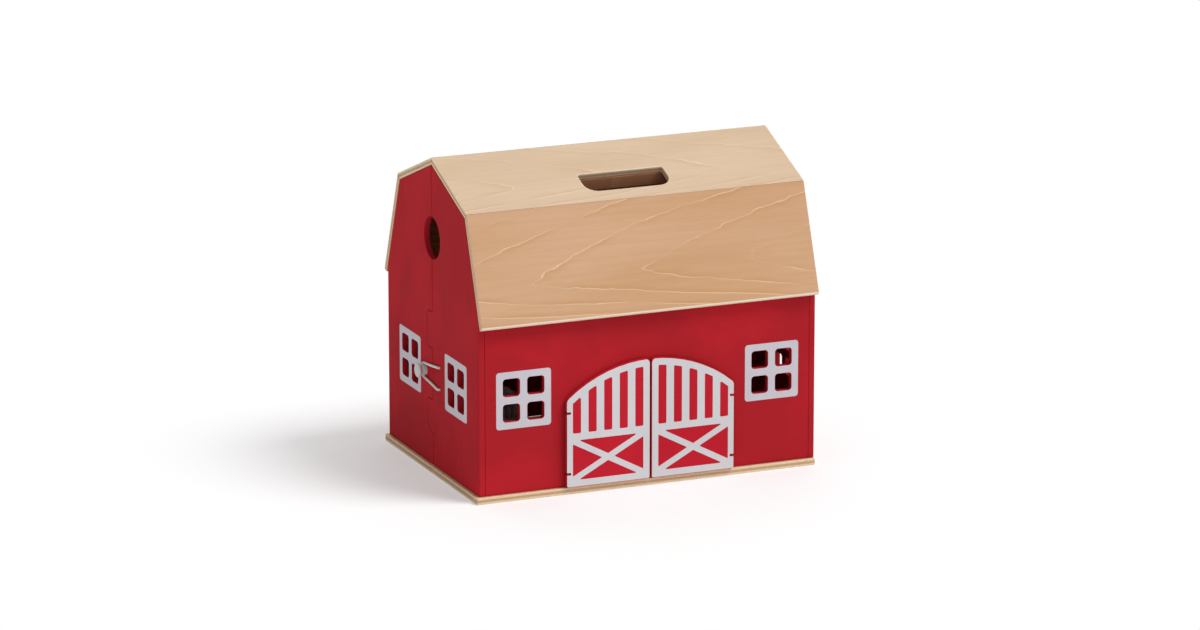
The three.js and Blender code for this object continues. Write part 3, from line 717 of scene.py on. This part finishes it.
def wood_figure(graph, grain):
    """The nested flames of a sliced veneer: pale lines, each with a golden side, and fine fibres."""
    u, v = (
        graph.minus(graph.along(direction), middle)
        for direction, middle in zip(grain.directions, grain.middle)
    )

    def noise(kind):
        along, across, step, detail, roughness = WOOD_NOISES[kind]
        spot = graph.stretched(u, v, along, across, grain.seed + step)
        return graph.noise(spot, detail=detail, roughness=roughness)

    def wander(kind, size):
        return graph.times(graph.minus(noise(kind), 0.5), size)

    away = graph.minus(graph.minus(v, grain.axis), wander("drift", FIGURE_DRIFT))
    lag, slope = 0.0, 0.0
    for side, (lean, bend) in ((1.0, UPPER_ARM), (-1.0, LOWER_ARM)):
        reach = graph.math("MAXIMUM", graph.times(away, side), 0.0)
        arm = graph.times(reach, graph.math("MULTIPLY_ADD", reach, bend, lean))
        lag = graph.plus(lag, arm)
        slope = graph.math("MAXIMUM", slope, graph.math("MULTIPLY_ADD", reach, 2 * bend, lean))
    run = graph.times(u, -float(grain.pointing))
    run = graph.plus(run, wander("wobble", FLAME_WOBBLE))
    run = graph.plus(run, wander("crinkle", FLAME_CRINKLE))
    level = graph.over(graph.minus(run, lag), FLAME_SPACING)
    stretch = graph.math("SQRT", graph.math("MULTIPLY_ADD", slope, slope, 1.0))
    steep = graph.over(stretch, FLAME_SPACING)
    part = graph.math("FRACT", level)
    past = graph.over(part, steep)
    short = graph.over(graph.minus(1.0, part), steep)
    presence = graph.band(noise("presence"), *PRESENCE_LEVELS, LEAST_PRESENCE, 1.0)
    presence = graph.times(presence, graph.band(stretch, *FADE_STRETCH, 1.0, 0.0))
    line = graph.times(graph.band(short, 0.0, LINE_WIDTH, 1.0, 0.0), presence)
    fibre = noise("fibre")
    return {
        "line": line,
        "golden": graph.times(graph.band(past, 0.0, GOLDEN_WIDTH, 1.0, 0.0), presence),
        "broad": graph.spread(noise("broad")),
        "streak": noise("streak"),
        "fibre": fibre,
        "fleck": graph.band(noise("fleck"), *FLECK_LEVELS),
        "raised": graph.math("MULTIPLY_ADD", line, 0.5, fibre),
    }


def veneer(name, grain, tones):
    graph = Graph(name, 0.5, specular=0.2)
    figure = wood_figure(graph, grain)
    tint = graph.mix(figure["broad"], tones["light"], tones["dark"])
    for kind, share in FIGURE_SHARES.items():
        tint = graph.mix(graph.times(figure[kind], share), tint, tones[kind])
    for kind in ("streak", "fibre"):
        tint = graph.brighter(tint, graph.spread(figure[kind], 1.0 - VENEER_SWING, 1.0 + VENEER_SWING))
    graph.paint(tint)
    graph.rough(graph.spread(figure["streak"], 0.44, 0.56))
    graph.bump(figure["raised"], GRAIN_DEPTH, 0.5)
    return graph.material


def ply_edge(name, board, seed):
    """The stacked layers that show where plywood is cut, paler near both faces: partly the lighter outer
    veneers, partly a painted highlight on the eased rims.
    """
    graph = Graph(name, 0.65, specular=0.15)
    u, v, height = (graph.along(axis) for axis in board.axes)
    depth = graph.over(graph.minus(height, board.bottom), board.top - board.bottom)
    wander = graph.noise(graph.stretched(u, v, 9.0, 9.0, seed))
    wander = graph.times(graph.minus(wander, 0.5), LAYER_WANDER_SHARE)
    layer = graph.times(graph.plus(depth, wander), float(PLY_LAYERS))
    swing = graph.math("PINGPONG", layer, 1.0)
    light = graph.band(graph.math("SINE", graph.times(layer, math.pi)), -0.35, 0.35)
    glue = graph.math("MAXIMUM", graph.band(swing, 0.0, 0.1, 1.0, 0.0), graph.band(swing, 0.9, 1.0))
    fleck = graph.noise(graph.stretched(u, v, 300.0, 300.0, layer), detail=3, roughness=0.65)
    # Paler near both faces: the outer veneers, with a painted highlight of the light on the eased rims
    rim = graph.band(graph.math("PINGPONG", depth, 0.5), 0.02, 0.14, 1.0, 0.0)
    tint = graph.mix(light, EDGE_DARK, EDGE_LIGHT)
    tint = graph.mix(graph.times(glue, GLUE_SHARE), tint, GLUE_LINE)
    tint = graph.mix(rim, tint, EDGE_RIM_HIGHLIGHT)
    graph.paint(graph.brighter(tint, graph.spread(fleck, 0.92, 1.06)))
    graph.bump(fleck, EDGE_DEPTH, 0.6)
    return graph.material


def worn_and_highlit_rim(name, seed):
    """The rounded eave, pale cream: partly wear on the arris, partly a painted highlight for the light
    the rounding catches.
    """
    graph = Graph(name, 0.6, specular=0.15)
    grain = graph.noise(graph.stretched(graph.along(X), graph.along(Z), 40.0, 1500.0, seed), detail=3)
    graph.paint(graph.mix(graph.spread(grain), WORN_HIGHLIT_DARK, WORN_HIGHLIT_LIGHT))
    graph.bump(grain, GRAIN_DEPTH, 0.5)
    return graph.material


# Paint, metal and elastic

@dataclass
class Paint:
    """Two tones that cloud into each other. contrast is how much of the wood's figure shows through."""

    light: tuple
    dark: tuple
    roughness: float = 0.5
    specular: float = 0.1
    contrast: float = 0.4


WALL_RED = Paint(colour(186, 36, 45), colour(170, 34, 42), 0.6, 0.02, 1.0)
LEAF_RED = Paint(colour(195, 36, 50), colour(187, 33, 47), 0.6, 0.02, 0.6)
WHITE = Paint(colour(212, 211, 214), colour(206, 205, 208))
WINDOW_WHITE = Paint(colour(206, 202, 209), colour(199, 195, 202))
CLOUD_LEVELS = (0.36, 0.64)
BROAD_SHARE = 0.35
STREAK_SWING = 0.015
GOLDEN_SWING = 0.05
SCRATCH_DEPTH = 0.006 * MM
STRAND_DEPTH = 0.08 * MM
STRAND_LEVELS = (-0.2, 0.8)
# Darker tone between the strands: painted shade in the braid's grooves
STRAND_GROOVE_SHADE = colour(196, 194, 188)
STRAND_LIGHT = colour(232, 231, 227)


def painted(name, paint, grain):
    """Paint over wood: the figure shows through faintly."""
    graph = Graph(name, paint.roughness, specular=paint.specular)
    figure = wood_figure(graph, grain)
    cloud = graph.band(graph.noise(graph.spot, 11.0, detail=4, distortion=0.5), *CLOUD_LEVELS)
    tint = graph.mix(cloud, paint.light, paint.dark)
    tint = graph.mix(graph.times(figure["broad"], BROAD_SHARE), tint, paint.dark)
    swing = STREAK_SWING * paint.contrast
    tint = graph.brighter(tint, graph.spread(figure["streak"], 1.0 - swing, 1.0 + swing))
    golden = graph.math("MULTIPLY_ADD", figure["golden"], -GOLDEN_SWING * paint.contrast, 1.0)
    graph.paint(graph.brighter(tint, golden))
    graph.rough(graph.spread(figure["streak"], paint.roughness - 0.04, paint.roughness + 0.06))
    graph.bump(figure["raised"], GRAIN_DEPTH, 0.4)
    return graph.material


def metal(name, tint, dull, roughness):
    graph = Graph(name, roughness, metallic=1.0)
    blotch = graph.noise(graph.spot, 900.0, detail=3)
    scratch = graph.noise(graph.stretched(graph.along(Y), graph.along(Z), 400.0, 6000.0, 3.0))
    graph.paint(graph.mix(graph.band(blotch, 0.35, 0.7), tint, dull))
    graph.rough(graph.spread(scratch, roughness - 0.07, roughness + 0.1))
    graph.bump(scratch, SCRATCH_DEPTH, 0.5)
    return graph.material


def braided(name):
    """White elastic: slanting strands that cross, from the tube's own UV map, with painted shade in the
    grooves between them.
    """
    graph = Graph(name, 0.85, specular=0.2)
    uv = {0: graph.node("ShaderNodeTexCoord", {}, "UV")}
    turn, length = (graph.node("ShaderNodeSeparateXYZ", uv, axis) for axis in "XY")
    around = graph.times(turn, BRAID_STRANDS * math.tau)
    run = graph.times(length, math.tau / BRAID_PITCH)
    left = graph.math("SINE", graph.plus(around, run))
    right = graph.math("SINE", graph.minus(around, run))
    strands = graph.math("MAXIMUM", left, right)
    graph.paint(graph.mix(graph.band(strands, *STRAND_LEVELS), STRAND_GROOVE_SHADE, STRAND_LIGHT))
    graph.bump(strands, STRAND_DEPTH, 0.7)
    return graph.material


# Steel of the pins and screw eyes, tinted dark reddish brown: painted shade of the slits they sit in and
# a painted reflection of the red wall
SHADE_TINTED_STEEL = metal("steel_tinted_dark_red", colour(122, 84, 80), colour(92, 60, 58), 0.35)
BRASS = metal("brass_plate", colour(214, 184, 112), colour(188, 156, 88), 0.3)
# Darker metal for the walls and floor of the screw heads' cross recess, a painted shade; the heads' rims
# and the hidden shanks take it too
RECESS_SHADE_METAL = metal("screw_recess_painted_shade", colour(120, 104, 70), colour(90, 78, 52), 0.45)
ELASTIC = braided("white_elastic")


# Boards of the barn

def add_board(node, seed, tones=WARM_WOOD, ease=BOARD_EASE, hole_ease=None):
    board = Board(node)
    shape = board.solid(BOARD_CORNER, ease, hole_ease=hole_ease, edge_slot=1)
    face = veneer(f"{node}_veneer", board_grain(board, seed), tones)
    dress(node, shape, face, ply_edge(f"{node}_ply", board, seed))


def add_grip(node, seed):
    """A batten of solid wood, which a hand feels through the slot."""
    board = Board(node)
    wood = veneer(f"{node}_wood", board_grain(board, seed), BEECH)
    dress(node, board.solid(BOARD_CORNER, GRIP_EASE), wood)


def add_lower_roof(node, seed, axis_share=None, pointing=None):
    """A roof board drawn by its section, because its eave is rounded and its other edges are crisp."""
    board = Board(node)
    across, up, normal = board.axes
    tops, bottoms = board.top_loops[0], board.bottom_loops[0]
    spans = [(min(spot.y for spot in loop), max(spot.y for spot in loop)) for loop in (bottoms, tops)]
    (low, high), (top_low, top_high) = spans
    corners = [
        (Vector((low, board.bottom)), EAVE_INNER_ROUND), (Vector((high, board.bottom)), BREAK_ROUND),
        (Vector((top_high, board.top)), BREAK_ROUND), (Vector((top_low, board.top)), EAVE_ROUND),
    ]
    places, radii = zip(*corners)
    outline = []
    for spots, radius in zip(with_neighbours(list(places)), radii):
        outline += eased_corner(*spots, turn_at(*spots), radius)
    face, ply, rim = range(3)
    flats, bends = (face, ply, face, ply), (ply, face, face, rim)
    slots = [slot for flat, bend in zip(flats, bends) for slot in [bend] * CORNER_STEPS + [flat]]
    ends = [spot.x for spot in tops]
    span, section = (max(ends), min(ends)), (up, normal, across)
    shape = Shape()
    shape.block([outline], section, span, BOARD_EASE, face_slot=ply, edge_slot=slots)
    grain = board_grain(board, seed, axis_share=axis_share, pointing=pointing)
    wood = veneer(f"{node}_veneer", grain, WARM_WOOD)
    # The eave's rounding gets the pale rim: wear and a painted highlight
    dress(node, shape, wood, ply_edge(f"{node}_ply", board, seed), worn_and_highlit_rim(f"{node}_rim", seed))


def add_red_board(node, seed):
    board = Board(node)
    gable = "gable" in node
    shape = board.solid(BOARD_CORNER, GABLE_EASE if gable else BOARD_EASE, hole_ease=BOARD_EASE)
    dress(node, shape, painted(f"{node}_paint", WALL_RED, board_grain(board, seed, upright=gable)))


def add_leaf(name, seed):
    node = f"{name}_leaf"
    board = Board(node)
    paint = painted(f"{name}_red", LEAF_RED, board_grain(board, seed, upright=True))
    dress(node, board.solid(LEAF_CORNER, LEAF_EASE), paint)


def add_print(node, under, paint, seed, edge=0.0, spread=0.0):
    """A printed layer on the board under it: edge draws its rim in, and spread widens its fields."""
    board = Board(node)
    surface = Board(under).top
    outlines = [top for top, _ in board.pairs(PRINT_CORNER)]
    outlines = [inset(outline, edge if enclosed(outline) > 0 else spread) for outline in outlines]
    shape = Shape()
    span = (surface + PRINT_HEIGHT, surface - PRINT_SINK)
    shape.block(outlines, board.axes, span, PRINT_EASE)
    dress(node, shape, painted(f"{node}_ink", paint, board_grain(board, seed, upright=True)))


# Metal of the leaves

def alike_ends(profile, length):
    return profile + [(length - along, radius) for along, radius in reversed(profile)]


def add_leaf_metal(name):
    """The pin of a leaf, and the two screw eyes that it turns in."""
    x, y, _ = joint_of[f"{name}_swing"]["pos_m"]
    low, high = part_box(f"{name}_pin")
    radius, length = (high.y - low.y) / 2, high.z - low.z
    tip = radius / 2
    shape = Shape()
    profile = alike_ends([(0, 0), (0, tip), (tip, radius)], length)
    shape.lathe(Vector((x, y, low.z)), Z, profile, sides=WIRE_SIDES)
    # The pin and the eyes take the steel tinted with painted shade and a painted red reflection
    dress(f"{name}_pin", shape, SHADE_TINTED_STEEL)
    for level in ("lower", "upper"):
        node = f"{name}_{level}_eye"
        low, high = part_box(node)
        height = (low.z + high.z) / 2
        middle = Vector((x, y, height))
        end = Vector((x, high.y if y < 0 else low.y, height))
        start = middle + (end - middle).normalized() * EYE_RING
        shape = Shape()
        shape.tube(circle(middle, EYE_RING, (X, Y)), EYE_WIRE, closed=True)
        shape.tube([start, end], EYE_WIRE)
        dress(node, shape, SHADE_TINTED_STEEL)


# Butt hinges

def add_hinge_leaf(level, half):
    """A plate on the gable with two screws, and two knuckles in front or one at the back."""
    node = f"{level}_hinge_{half}_leaf"
    low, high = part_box(node)
    front = half == "front"
    side = -1 if front else 1
    knuckle, reach = (high.y, -low.y) if front else (-low.y, high.y)
    start = knuckle + PIN_GAP
    middle = (low.z + high.z) / 2
    third = (high.z - low.z - 2 * PIN_GAP) / 3
    mids = [middle - third - PIN_GAP, middle + third + PIN_GAP] if front else [middle]
    face = low.x + HINGE_PLATE
    shape = Shape()

    def add_plate(near, far, bottom, top, corner):
        left, right = sorted([side * near, side * far])
        outline = refined(rectangle((left, bottom), (right, top)), corner)
        shape.block([outline], GABLE_AXES, (face, low.x), HINGE_EASE)

    add_plate(start, reach, low.z, high.z, HINGE_CORNER)
    rim = [(0, knuckle - HINGE_PLATE), (0, knuckle - HINGE_EASE), (HINGE_EASE, knuckle)]
    for mid in mids:
        add_plate(0, start + HINGE_CORNER, mid - third / 2, mid + third / 2, 0)
        shape.lathe(Vector((high.x - knuckle, 0, mid - third / 2)), Z, alike_ends(rim, third))
    dress(node, shape, BRASS)
    for number, end in enumerate((-1, 1), 1):
        spot = Vector((side * (start + reach) / 2, middle + end * SCREW_SPACING / 2))
        add_screw(f"{node}_screw_{number}", spot, face, body_of[node])


def cross_outline(middle):
    """A clockwise plus sign, the recess of a cross-head screw."""
    long, short = CROSS_REACH, CROSS_WIDTH / 2
    quarter = [Vector((short, long)), Vector((short, short)), Vector((long, short))]
    return [middle + turned(spot, -quarters * math.pi / 2) for quarters in range(4) for spot in quarter]


def add_screw(name, spot, face, body):
    """A cross-head screw into the gable, along -X. face is where its plate's outside lies."""
    head, recess = circle(spot, SCREW_HEAD), cross_outline(spot)
    floor = circle(spot, CROSS_REACH + CROSS_WIDTH / 4)
    seat = face - HINGE_PLATE / 2
    shape = Shape()
    # Slot 1, the darker metal, is painted shade in the cross recess, and also covers the head's rim and
    # the shank
    shape.block([head, recess], GABLE_AXES, (face + SCREW_RISE, seat), HINGE_EASE / 2, edge_slot=1)
    shape.block([floor], GABLE_AXES, (face - HINGE_PLATE / 3, seat), 0, face_slot=1, edge_slot=1)
    shank = [(0, 0), (0, SCREW_SHANK), (SCREW_LENGTH - SCREW_POINT, SCREW_SHANK), (SCREW_LENGTH, 0)]
    shape.lathe(Vector((seat, *spot)), -X, shank, sides=WIRE_SIDES)
    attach(add_piece(name, shape, [BRASS, RECESS_SHADE_METAL], "brass"), body)


def add_hinge_pin(level):
    node = f"{level}_hinge_pin"
    low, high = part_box(node)
    middle = (low + high) / 2
    head = (high.y - low.y) / 2
    half = high.z - middle.z
    rise = high.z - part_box(f"{level}_hinge_front_leaf")[1].z - PIN_GAP
    dome = [(half - rise, head - PIN_RIM)]
    dome += [(half - rise * below, head * width) for below, width in PIN_DOME_SHARES]
    shape = Shape()
    shape.lathe(middle, Z, [(-along, radius) for along, radius in reversed(dome)] + dome)
    dress(node, shape, BRASS)


# Latch

def spline(points, steps):
    """Points on a smooth curve through the given ones."""
    result = []
    for i in range(len(points) - 1):
        first, second = points[i], points[i + 1]
        before = points[i - 1] if i else first + (first - second)
        after = points[i + 2] if i + 2 < len(points) else second + (second - first)
        reach = (second - first).length
        into = (second - before) / max((second - before).length, WELD) * reach
        out = (after - first) / max((after - first).length, WELD) * reach
        for step in range(steps):
            t = step / steps
            result.append(
                first * (2 * t ** 3 - 3 * t ** 2 + 1) + into * (t ** 3 - 2 * t ** 2 + t)
                + second * (3 * t ** 2 - 2 * t ** 3) + out * (t ** 3 - t ** 2)
            )
    result.append(points[-1])
    return result


def corners_of(node):
    return [vertex.co for vertex in nodes[node].data.vertices]


def add_knob(node, seed):
    """A turned knob: a peg in the gable, a neck and a round head."""
    low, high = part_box(node)
    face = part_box("back_latch_gable")[0].x
    middle = (low + high) / 2
    head = (high.z - low.z) / 2
    reach = face - low.x

    def radius_between(start, end):
        return max((corner - middle).yz.length for corner in corners_of(node) if start < corner.x < end)

    peg = radius_between(face + WELD, high.x + WELD)
    neck = radius_between(face - reach / 2, face - WELD)
    outside = [(along, neck * width) for along, width in KNOB_NECK_SHARES]
    outside.append((KNOB_FLARE_SHARE, (neck + head) / 2))
    outside += [(along, head * width) for along, width in KNOB_HEAD_SHARES]
    curve = spline([Vector((along * reach, radius)) for along, radius in outside], KNOB_STEPS)
    profile = [(face - high.x, 0), (face - high.x, peg), (0, peg)]
    profile += [(spot.x, max(spot.y, 0)) for spot in curve[:-1]] + [(reach, 0)]
    shape = Shape()
    shape.lathe(Vector((face, middle.y, middle.z)), -X, profile)
    dress(node, shape, painted("knob_white", WHITE, Grain((X, Y), seed)))


def knot_points(middle):
    """An overhand knot."""
    scale = (KNOT_RADIUS - KNOT_CORD) / 3
    angles = [math.tau * step / KNOT_STEPS for step in range(KNOT_STEPS)]
    return [
        middle + scale * Vector((
            -math.sin(3 * t), math.sin(t) + 2 * math.sin(2 * t), math.cos(t) - 2 * math.cos(2 * t),
        ))
        for t in angles
    ]


def add_loop(node):
    """An elastic loop, knotted inside the front gable, which goes out through it and round the knob."""
    low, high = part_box(node)
    knob_low, knob_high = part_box("latch_knob")
    board_low, board_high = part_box("front_latch_gable")
    face, ply = board_low.x, board_high.x - board_low.x
    lift = face - low.x - ELASTIC_RADIUS
    anchor = low.y + KNOT_RADIUS
    spread = (high.z - low.z) / 2 - KNOT_RADIUS
    knob_y = (knob_low.y + knob_high.y) / 2
    bend = high.y - knob_y - ELASTIC_RADIUS
    run = knob_y - anchor
    tail = high.x - face - ply - KNOT_RADIUS
    half = [
        (ply + tail, 0, spread), (ply / 2, 0, spread), (0, 0, spread),
        (-lift * 0.7, lift * 0.3, spread), (-lift, lift, spread),
        (-lift, run / 2, (spread + bend) / 2), (-lift, run, bend),
        (-lift, run + bend * math.sqrt(0.5), bend * math.sqrt(0.5)),
    ]
    route = half + [(-lift, run + bend, 0)] + [(x, y, -z) for x, y, z in reversed(half)]
    origin = Vector((face, anchor, (knob_low.z + knob_high.z) / 2))
    shape = Shape()
    shape.tube(spline([origin + Vector(point) for point in route], LOOP_STEPS), ELASTIC_RADIUS)
    for end in (-1, 1):
        middle = origin + Vector((ply + tail + KNOT_CORD, 0, end * spread))
        shape.tube(knot_points(middle), KNOT_CORD, closed=True)
    piece = add_piece(f"{node}_piece", shape, [ELASTIC], slot_of[node], flat_faces=False)
    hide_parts(node)
    pivot = Vector(joint_of["latch_release"]["pos_m"])
    end = (pivot.x - LOOP_BEND, pivot.y + LOOP_BEND, pivot.z)
    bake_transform(piece)


# Loose fences and troughs

def add_fence(node, seed):
    """A fence or panel, read from its outline, with its feet made again as blocks across it."""
    board = Board(node)
    low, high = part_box(node)
    foot_top = max(corner.z for corner in corners_of(node) if abs(corner.x - low.x) < PLANE)
    outlines, feet = [], []
    for loop in board.top_loops:
        if enclosed(loop) > 0:
            left, right = min(spot.x for spot in loop), max(spot.x for spot in loop)
            inner = [p for p in loop if p.y < foot_top + PLANE and left + PLANE < p.x < right - PLANE]
            feet = sorted({round(spot.x / PLANE) * PLANE for spot in inner})
            loop = [spot for spot in loop if spot not in inner]
        outlines.append(refined(loop, FENCE_CORNER))
    shape = Shape()
    shape.block(outlines, board.axes, (board.top, board.bottom), FENCE_EASE)
    for edges in zip(feet[::2], feet[1::2]):
        near, far = sorted(board.axes[0].y * edge for edge in edges)
        outline = refined(rectangle((low.x, near), (high.x, far)), FENCE_CORNER)
        shape.block([outline], PLAN_AXES, (foot_top, low.z), FENCE_EASE)
    dress(node, shape, painted(f"{node}_white", WHITE, board_grain(board, seed, upright=True)))


def add_trough(node, seed):
    """An open box, whose walls are as thick as its floor."""
    low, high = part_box(node)
    floor_top = sorted({round(corner.z, 5) for corner in corners_of(node)})[1]
    wall = floor_top - low.z

    def drawn_in(by):
        return rectangle((low.x + by, low.y + by), (high.x - by, high.y - by))

    outer = refined(drawn_in(0), 2 * FENCE_CORNER)
    opening = refined(drawn_in(wall), FENCE_CORNER)[::-1]
    shape = Shape()
    shape.block([outer, opening], PLAN_AXES, (high.z, low.z), FENCE_EASE)
    shape.block([drawn_in(wall / 2)], PLAN_AXES, (floor_top, low.z + FENCE_EASE / 2), 0)
    dress(node, shape, painted(f"{node}_white", WHITE, Grain((X, (0, 0.7, 0.7)), seed)))


# Stage

CAMERA_PLACE = Vector((-2.153, -5.089, 1.606))
CAMERA_AIM = Vector((0.37692, 0.88974, -0.25748))
CAMERA_LENS = 183.84
SENSOR_WIDTH = 36.0
CLIP_START = 0.1
CLIP_END = 100
SKY_LEVEL = 0.43
KEY_FROM = Vector((0.45, -0.36, 0.82))
KEY_STRENGTH = 2.3
KEY_ANGLE = math.radians(28)
FILL_FROM = Vector((0.15, 0.75, 0.6))
FILL_STRENGTH = 0.5
FILL_ANGLE = math.radians(60)
FLOOR_SIZE = 30
FLOOR_DARK = colour(247, 247, 247)
FLOOR_LIGHT = colour(249, 249, 249)
FADE_START = 0.2
FADE_END = 0.55
NEAR_WHITE_SHARE = 0.3
PLAIN_WHITE = (1, 1, 1, 1)


def add_aimed(name, data, direction, local_axis):
    """Adds a camera or a lamp, with one of its own axes turned along a direction."""
    made = add_object(name, data)
    made.rotation_mode = "QUATERNION"
    made.rotation_quaternion = direction.to_track_quat(local_axis, "Y")
    return made


def add_camera():
    data = bpy.data.cameras.new("camera")
    data.lens = CAMERA_LENS
    data.sensor_width = SENSOR_WIDTH
    data.clip_start = CLIP_START
    data.clip_end = CLIP_END
    camera = add_aimed("camera", data, CAMERA_AIM, "-Z")
    camera.location = CAMERA_PLACE
    bpy.context.scene.camera = camera


def add_soft_sun(name, towards, strength, angle):
    data = bpy.data.lights.new(name, "SUN")
    data.energy = strength
    data.angle = angle
    add_aimed(name, data, towards, "Z")


def add_world():
    """An even light, which looks plain white itself."""
    world = bpy.data.worlds.new("studio")
    sky = Nodes(world)
    background = sky.tree.nodes["Background"]
    background.inputs["Color"].default_value = PLAIN_WHITE
    levels = {"Value": sky.plain_rays(), "To Min": SKY_LEVEL, "To Max": 1.0}
    sky.link(sky.node("ShaderNodeMapRange", levels), background, "Strength")
    bpy.context.scene.world = world


def floor_white():
    """A white that keeps the object's shadow and turns plain white further out."""
    graph = Graph("studio_floor_white", 0.9, specular=0.0)
    graph.paint(graph.mix(graph.noise(graph.spot, 3.0), FLOOR_DARK, FLOOR_LIGHT))
    away = graph.node("ShaderNodeVectorMath", {0: graph.spot}, "Value", operation="LENGTH")
    share = graph.band(away, FADE_START, FADE_END, NEAR_WHITE_SHARE, 1.0)
    share = graph.times(share, graph.plain_rays())
    plain = graph.node("ShaderNodeEmission", {"Color": PLAIN_WHITE, "Strength": 1.0})
    both = graph.node("ShaderNodeMixShader", {0: share, 1: graph.shader.outputs[0], 2: plain})
    graph.link(both, graph.tree.nodes["Material Output"], "Surface")
    return graph.material


def add_floor():
    shape = Shape()
    corners = rectangle((-FLOOR_SIZE, -FLOOR_SIZE), (FLOOR_SIZE, FLOOR_SIZE))
    shape.face(shape.ring([corner.to_3d() for corner in corners]))
    data = shape.finish("studio_floor")
    data.materials.append(floor_white())
    add_object("studio_floor", data)


# Seeds of the finishes: the first of each kind, and the step from one piece to the next
FLAT_SEED = 0
GRIP_SEED = 6
UPPER_ROOF_SEED = 4
FRONT_ROOF_SEED = 3.1
BACK_ROOF_SEED = 8.4
RED_SEED = 2
WINDOW_SEED = 0
LEAF_SEED = 1
LATTICE_SEED = 0
KNOB_SEED = 91
FENCE_SEED = 3
TROUGH_SEED = 5
SEED_STEP = 7.3
FRONT_FIGURE_SHARE = -0.25
BOARD_UNDER = {
    "latch_gable_window": "latch_gable", "hinge_gable_window": "hinge_gable",
    "left_window": "wall", "right_window": "wall",
}
LEAVES = ("gate_left", "gate_right", "stable_lower", "stable_upper")


def seeded(first, names):
    """Each name with a seed of its own."""
    return [(name, first + SEED_STEP * number) for number, name in enumerate(names)]


def both_halves(first, *kinds):
    return seeded(first, [f"{half}_{kind}" for kind in kinds for half in ("front", "back")])


add_camera()
for node, seed in both_halves(FLAT_SEED, "floor", "loft", "loft_cleat"):
    add_board(node, seed)
for node, seed in both_halves(GRIP_SEED, "grip_batten"):
    add_grip(node, seed)
for node, seed in both_halves(UPPER_ROOF_SEED, "upper_roof"):
    # The upper roof boards take the paler veneer, a painted highlight of the light on top
    add_board(node, seed, TOP_HIGHLIGHT_WOOD, ROOF_EASE, SLOT_EASE)
add_lower_roof("front_lower_roof", FRONT_ROOF_SEED, FRONT_FIGURE_SHARE, -1)
add_lower_roof("back_lower_roof", BACK_ROOF_SEED)
for node, seed in both_halves(RED_SEED, "wall", "latch_gable", "hinge_gable"):
    add_red_board(node, seed)
for node, seed in both_halves(WINDOW_SEED, *BOARD_UNDER):
    half, window = node.split("_", 1)
    add_print(node, f"{half}_{BOARD_UNDER[window]}", WINDOW_WHITE, seed)
for (name, seed), (_, ink_seed) in zip(seeded(LEAF_SEED, LEAVES), seeded(LATTICE_SEED, LEAVES)):
    add_leaf(name, seed)
    add_print(f"{name}_lattice", f"{name}_leaf", WHITE, ink_seed, LEAF_EASE, FIELD_SPREAD)
    add_leaf_metal(name)
for level in ("lower", "upper"):
    for half in ("front", "back"):
        add_hinge_leaf(level, half)
    add_hinge_pin(level)
add_knob("latch_knob", KNOB_SEED)
add_loop("latch_loop")
for node, seed in both_halves(FENCE_SEED, "stall_panel", "fence"):
    add_fence(node, seed)
for node, seed in both_halves(TROUGH_SEED, "trough"):
    add_trough(node, seed)
add_floor()
add_world()
add_soft_sun("key", KEY_FROM, KEY_STRENGTH, KEY_ANGLE)
add_soft_sun("fill", FILL_FROM, FILL_STRENGTH, FILL_ANGLE)

bpy.context.scene.view_settings.view_transform = "Standard"
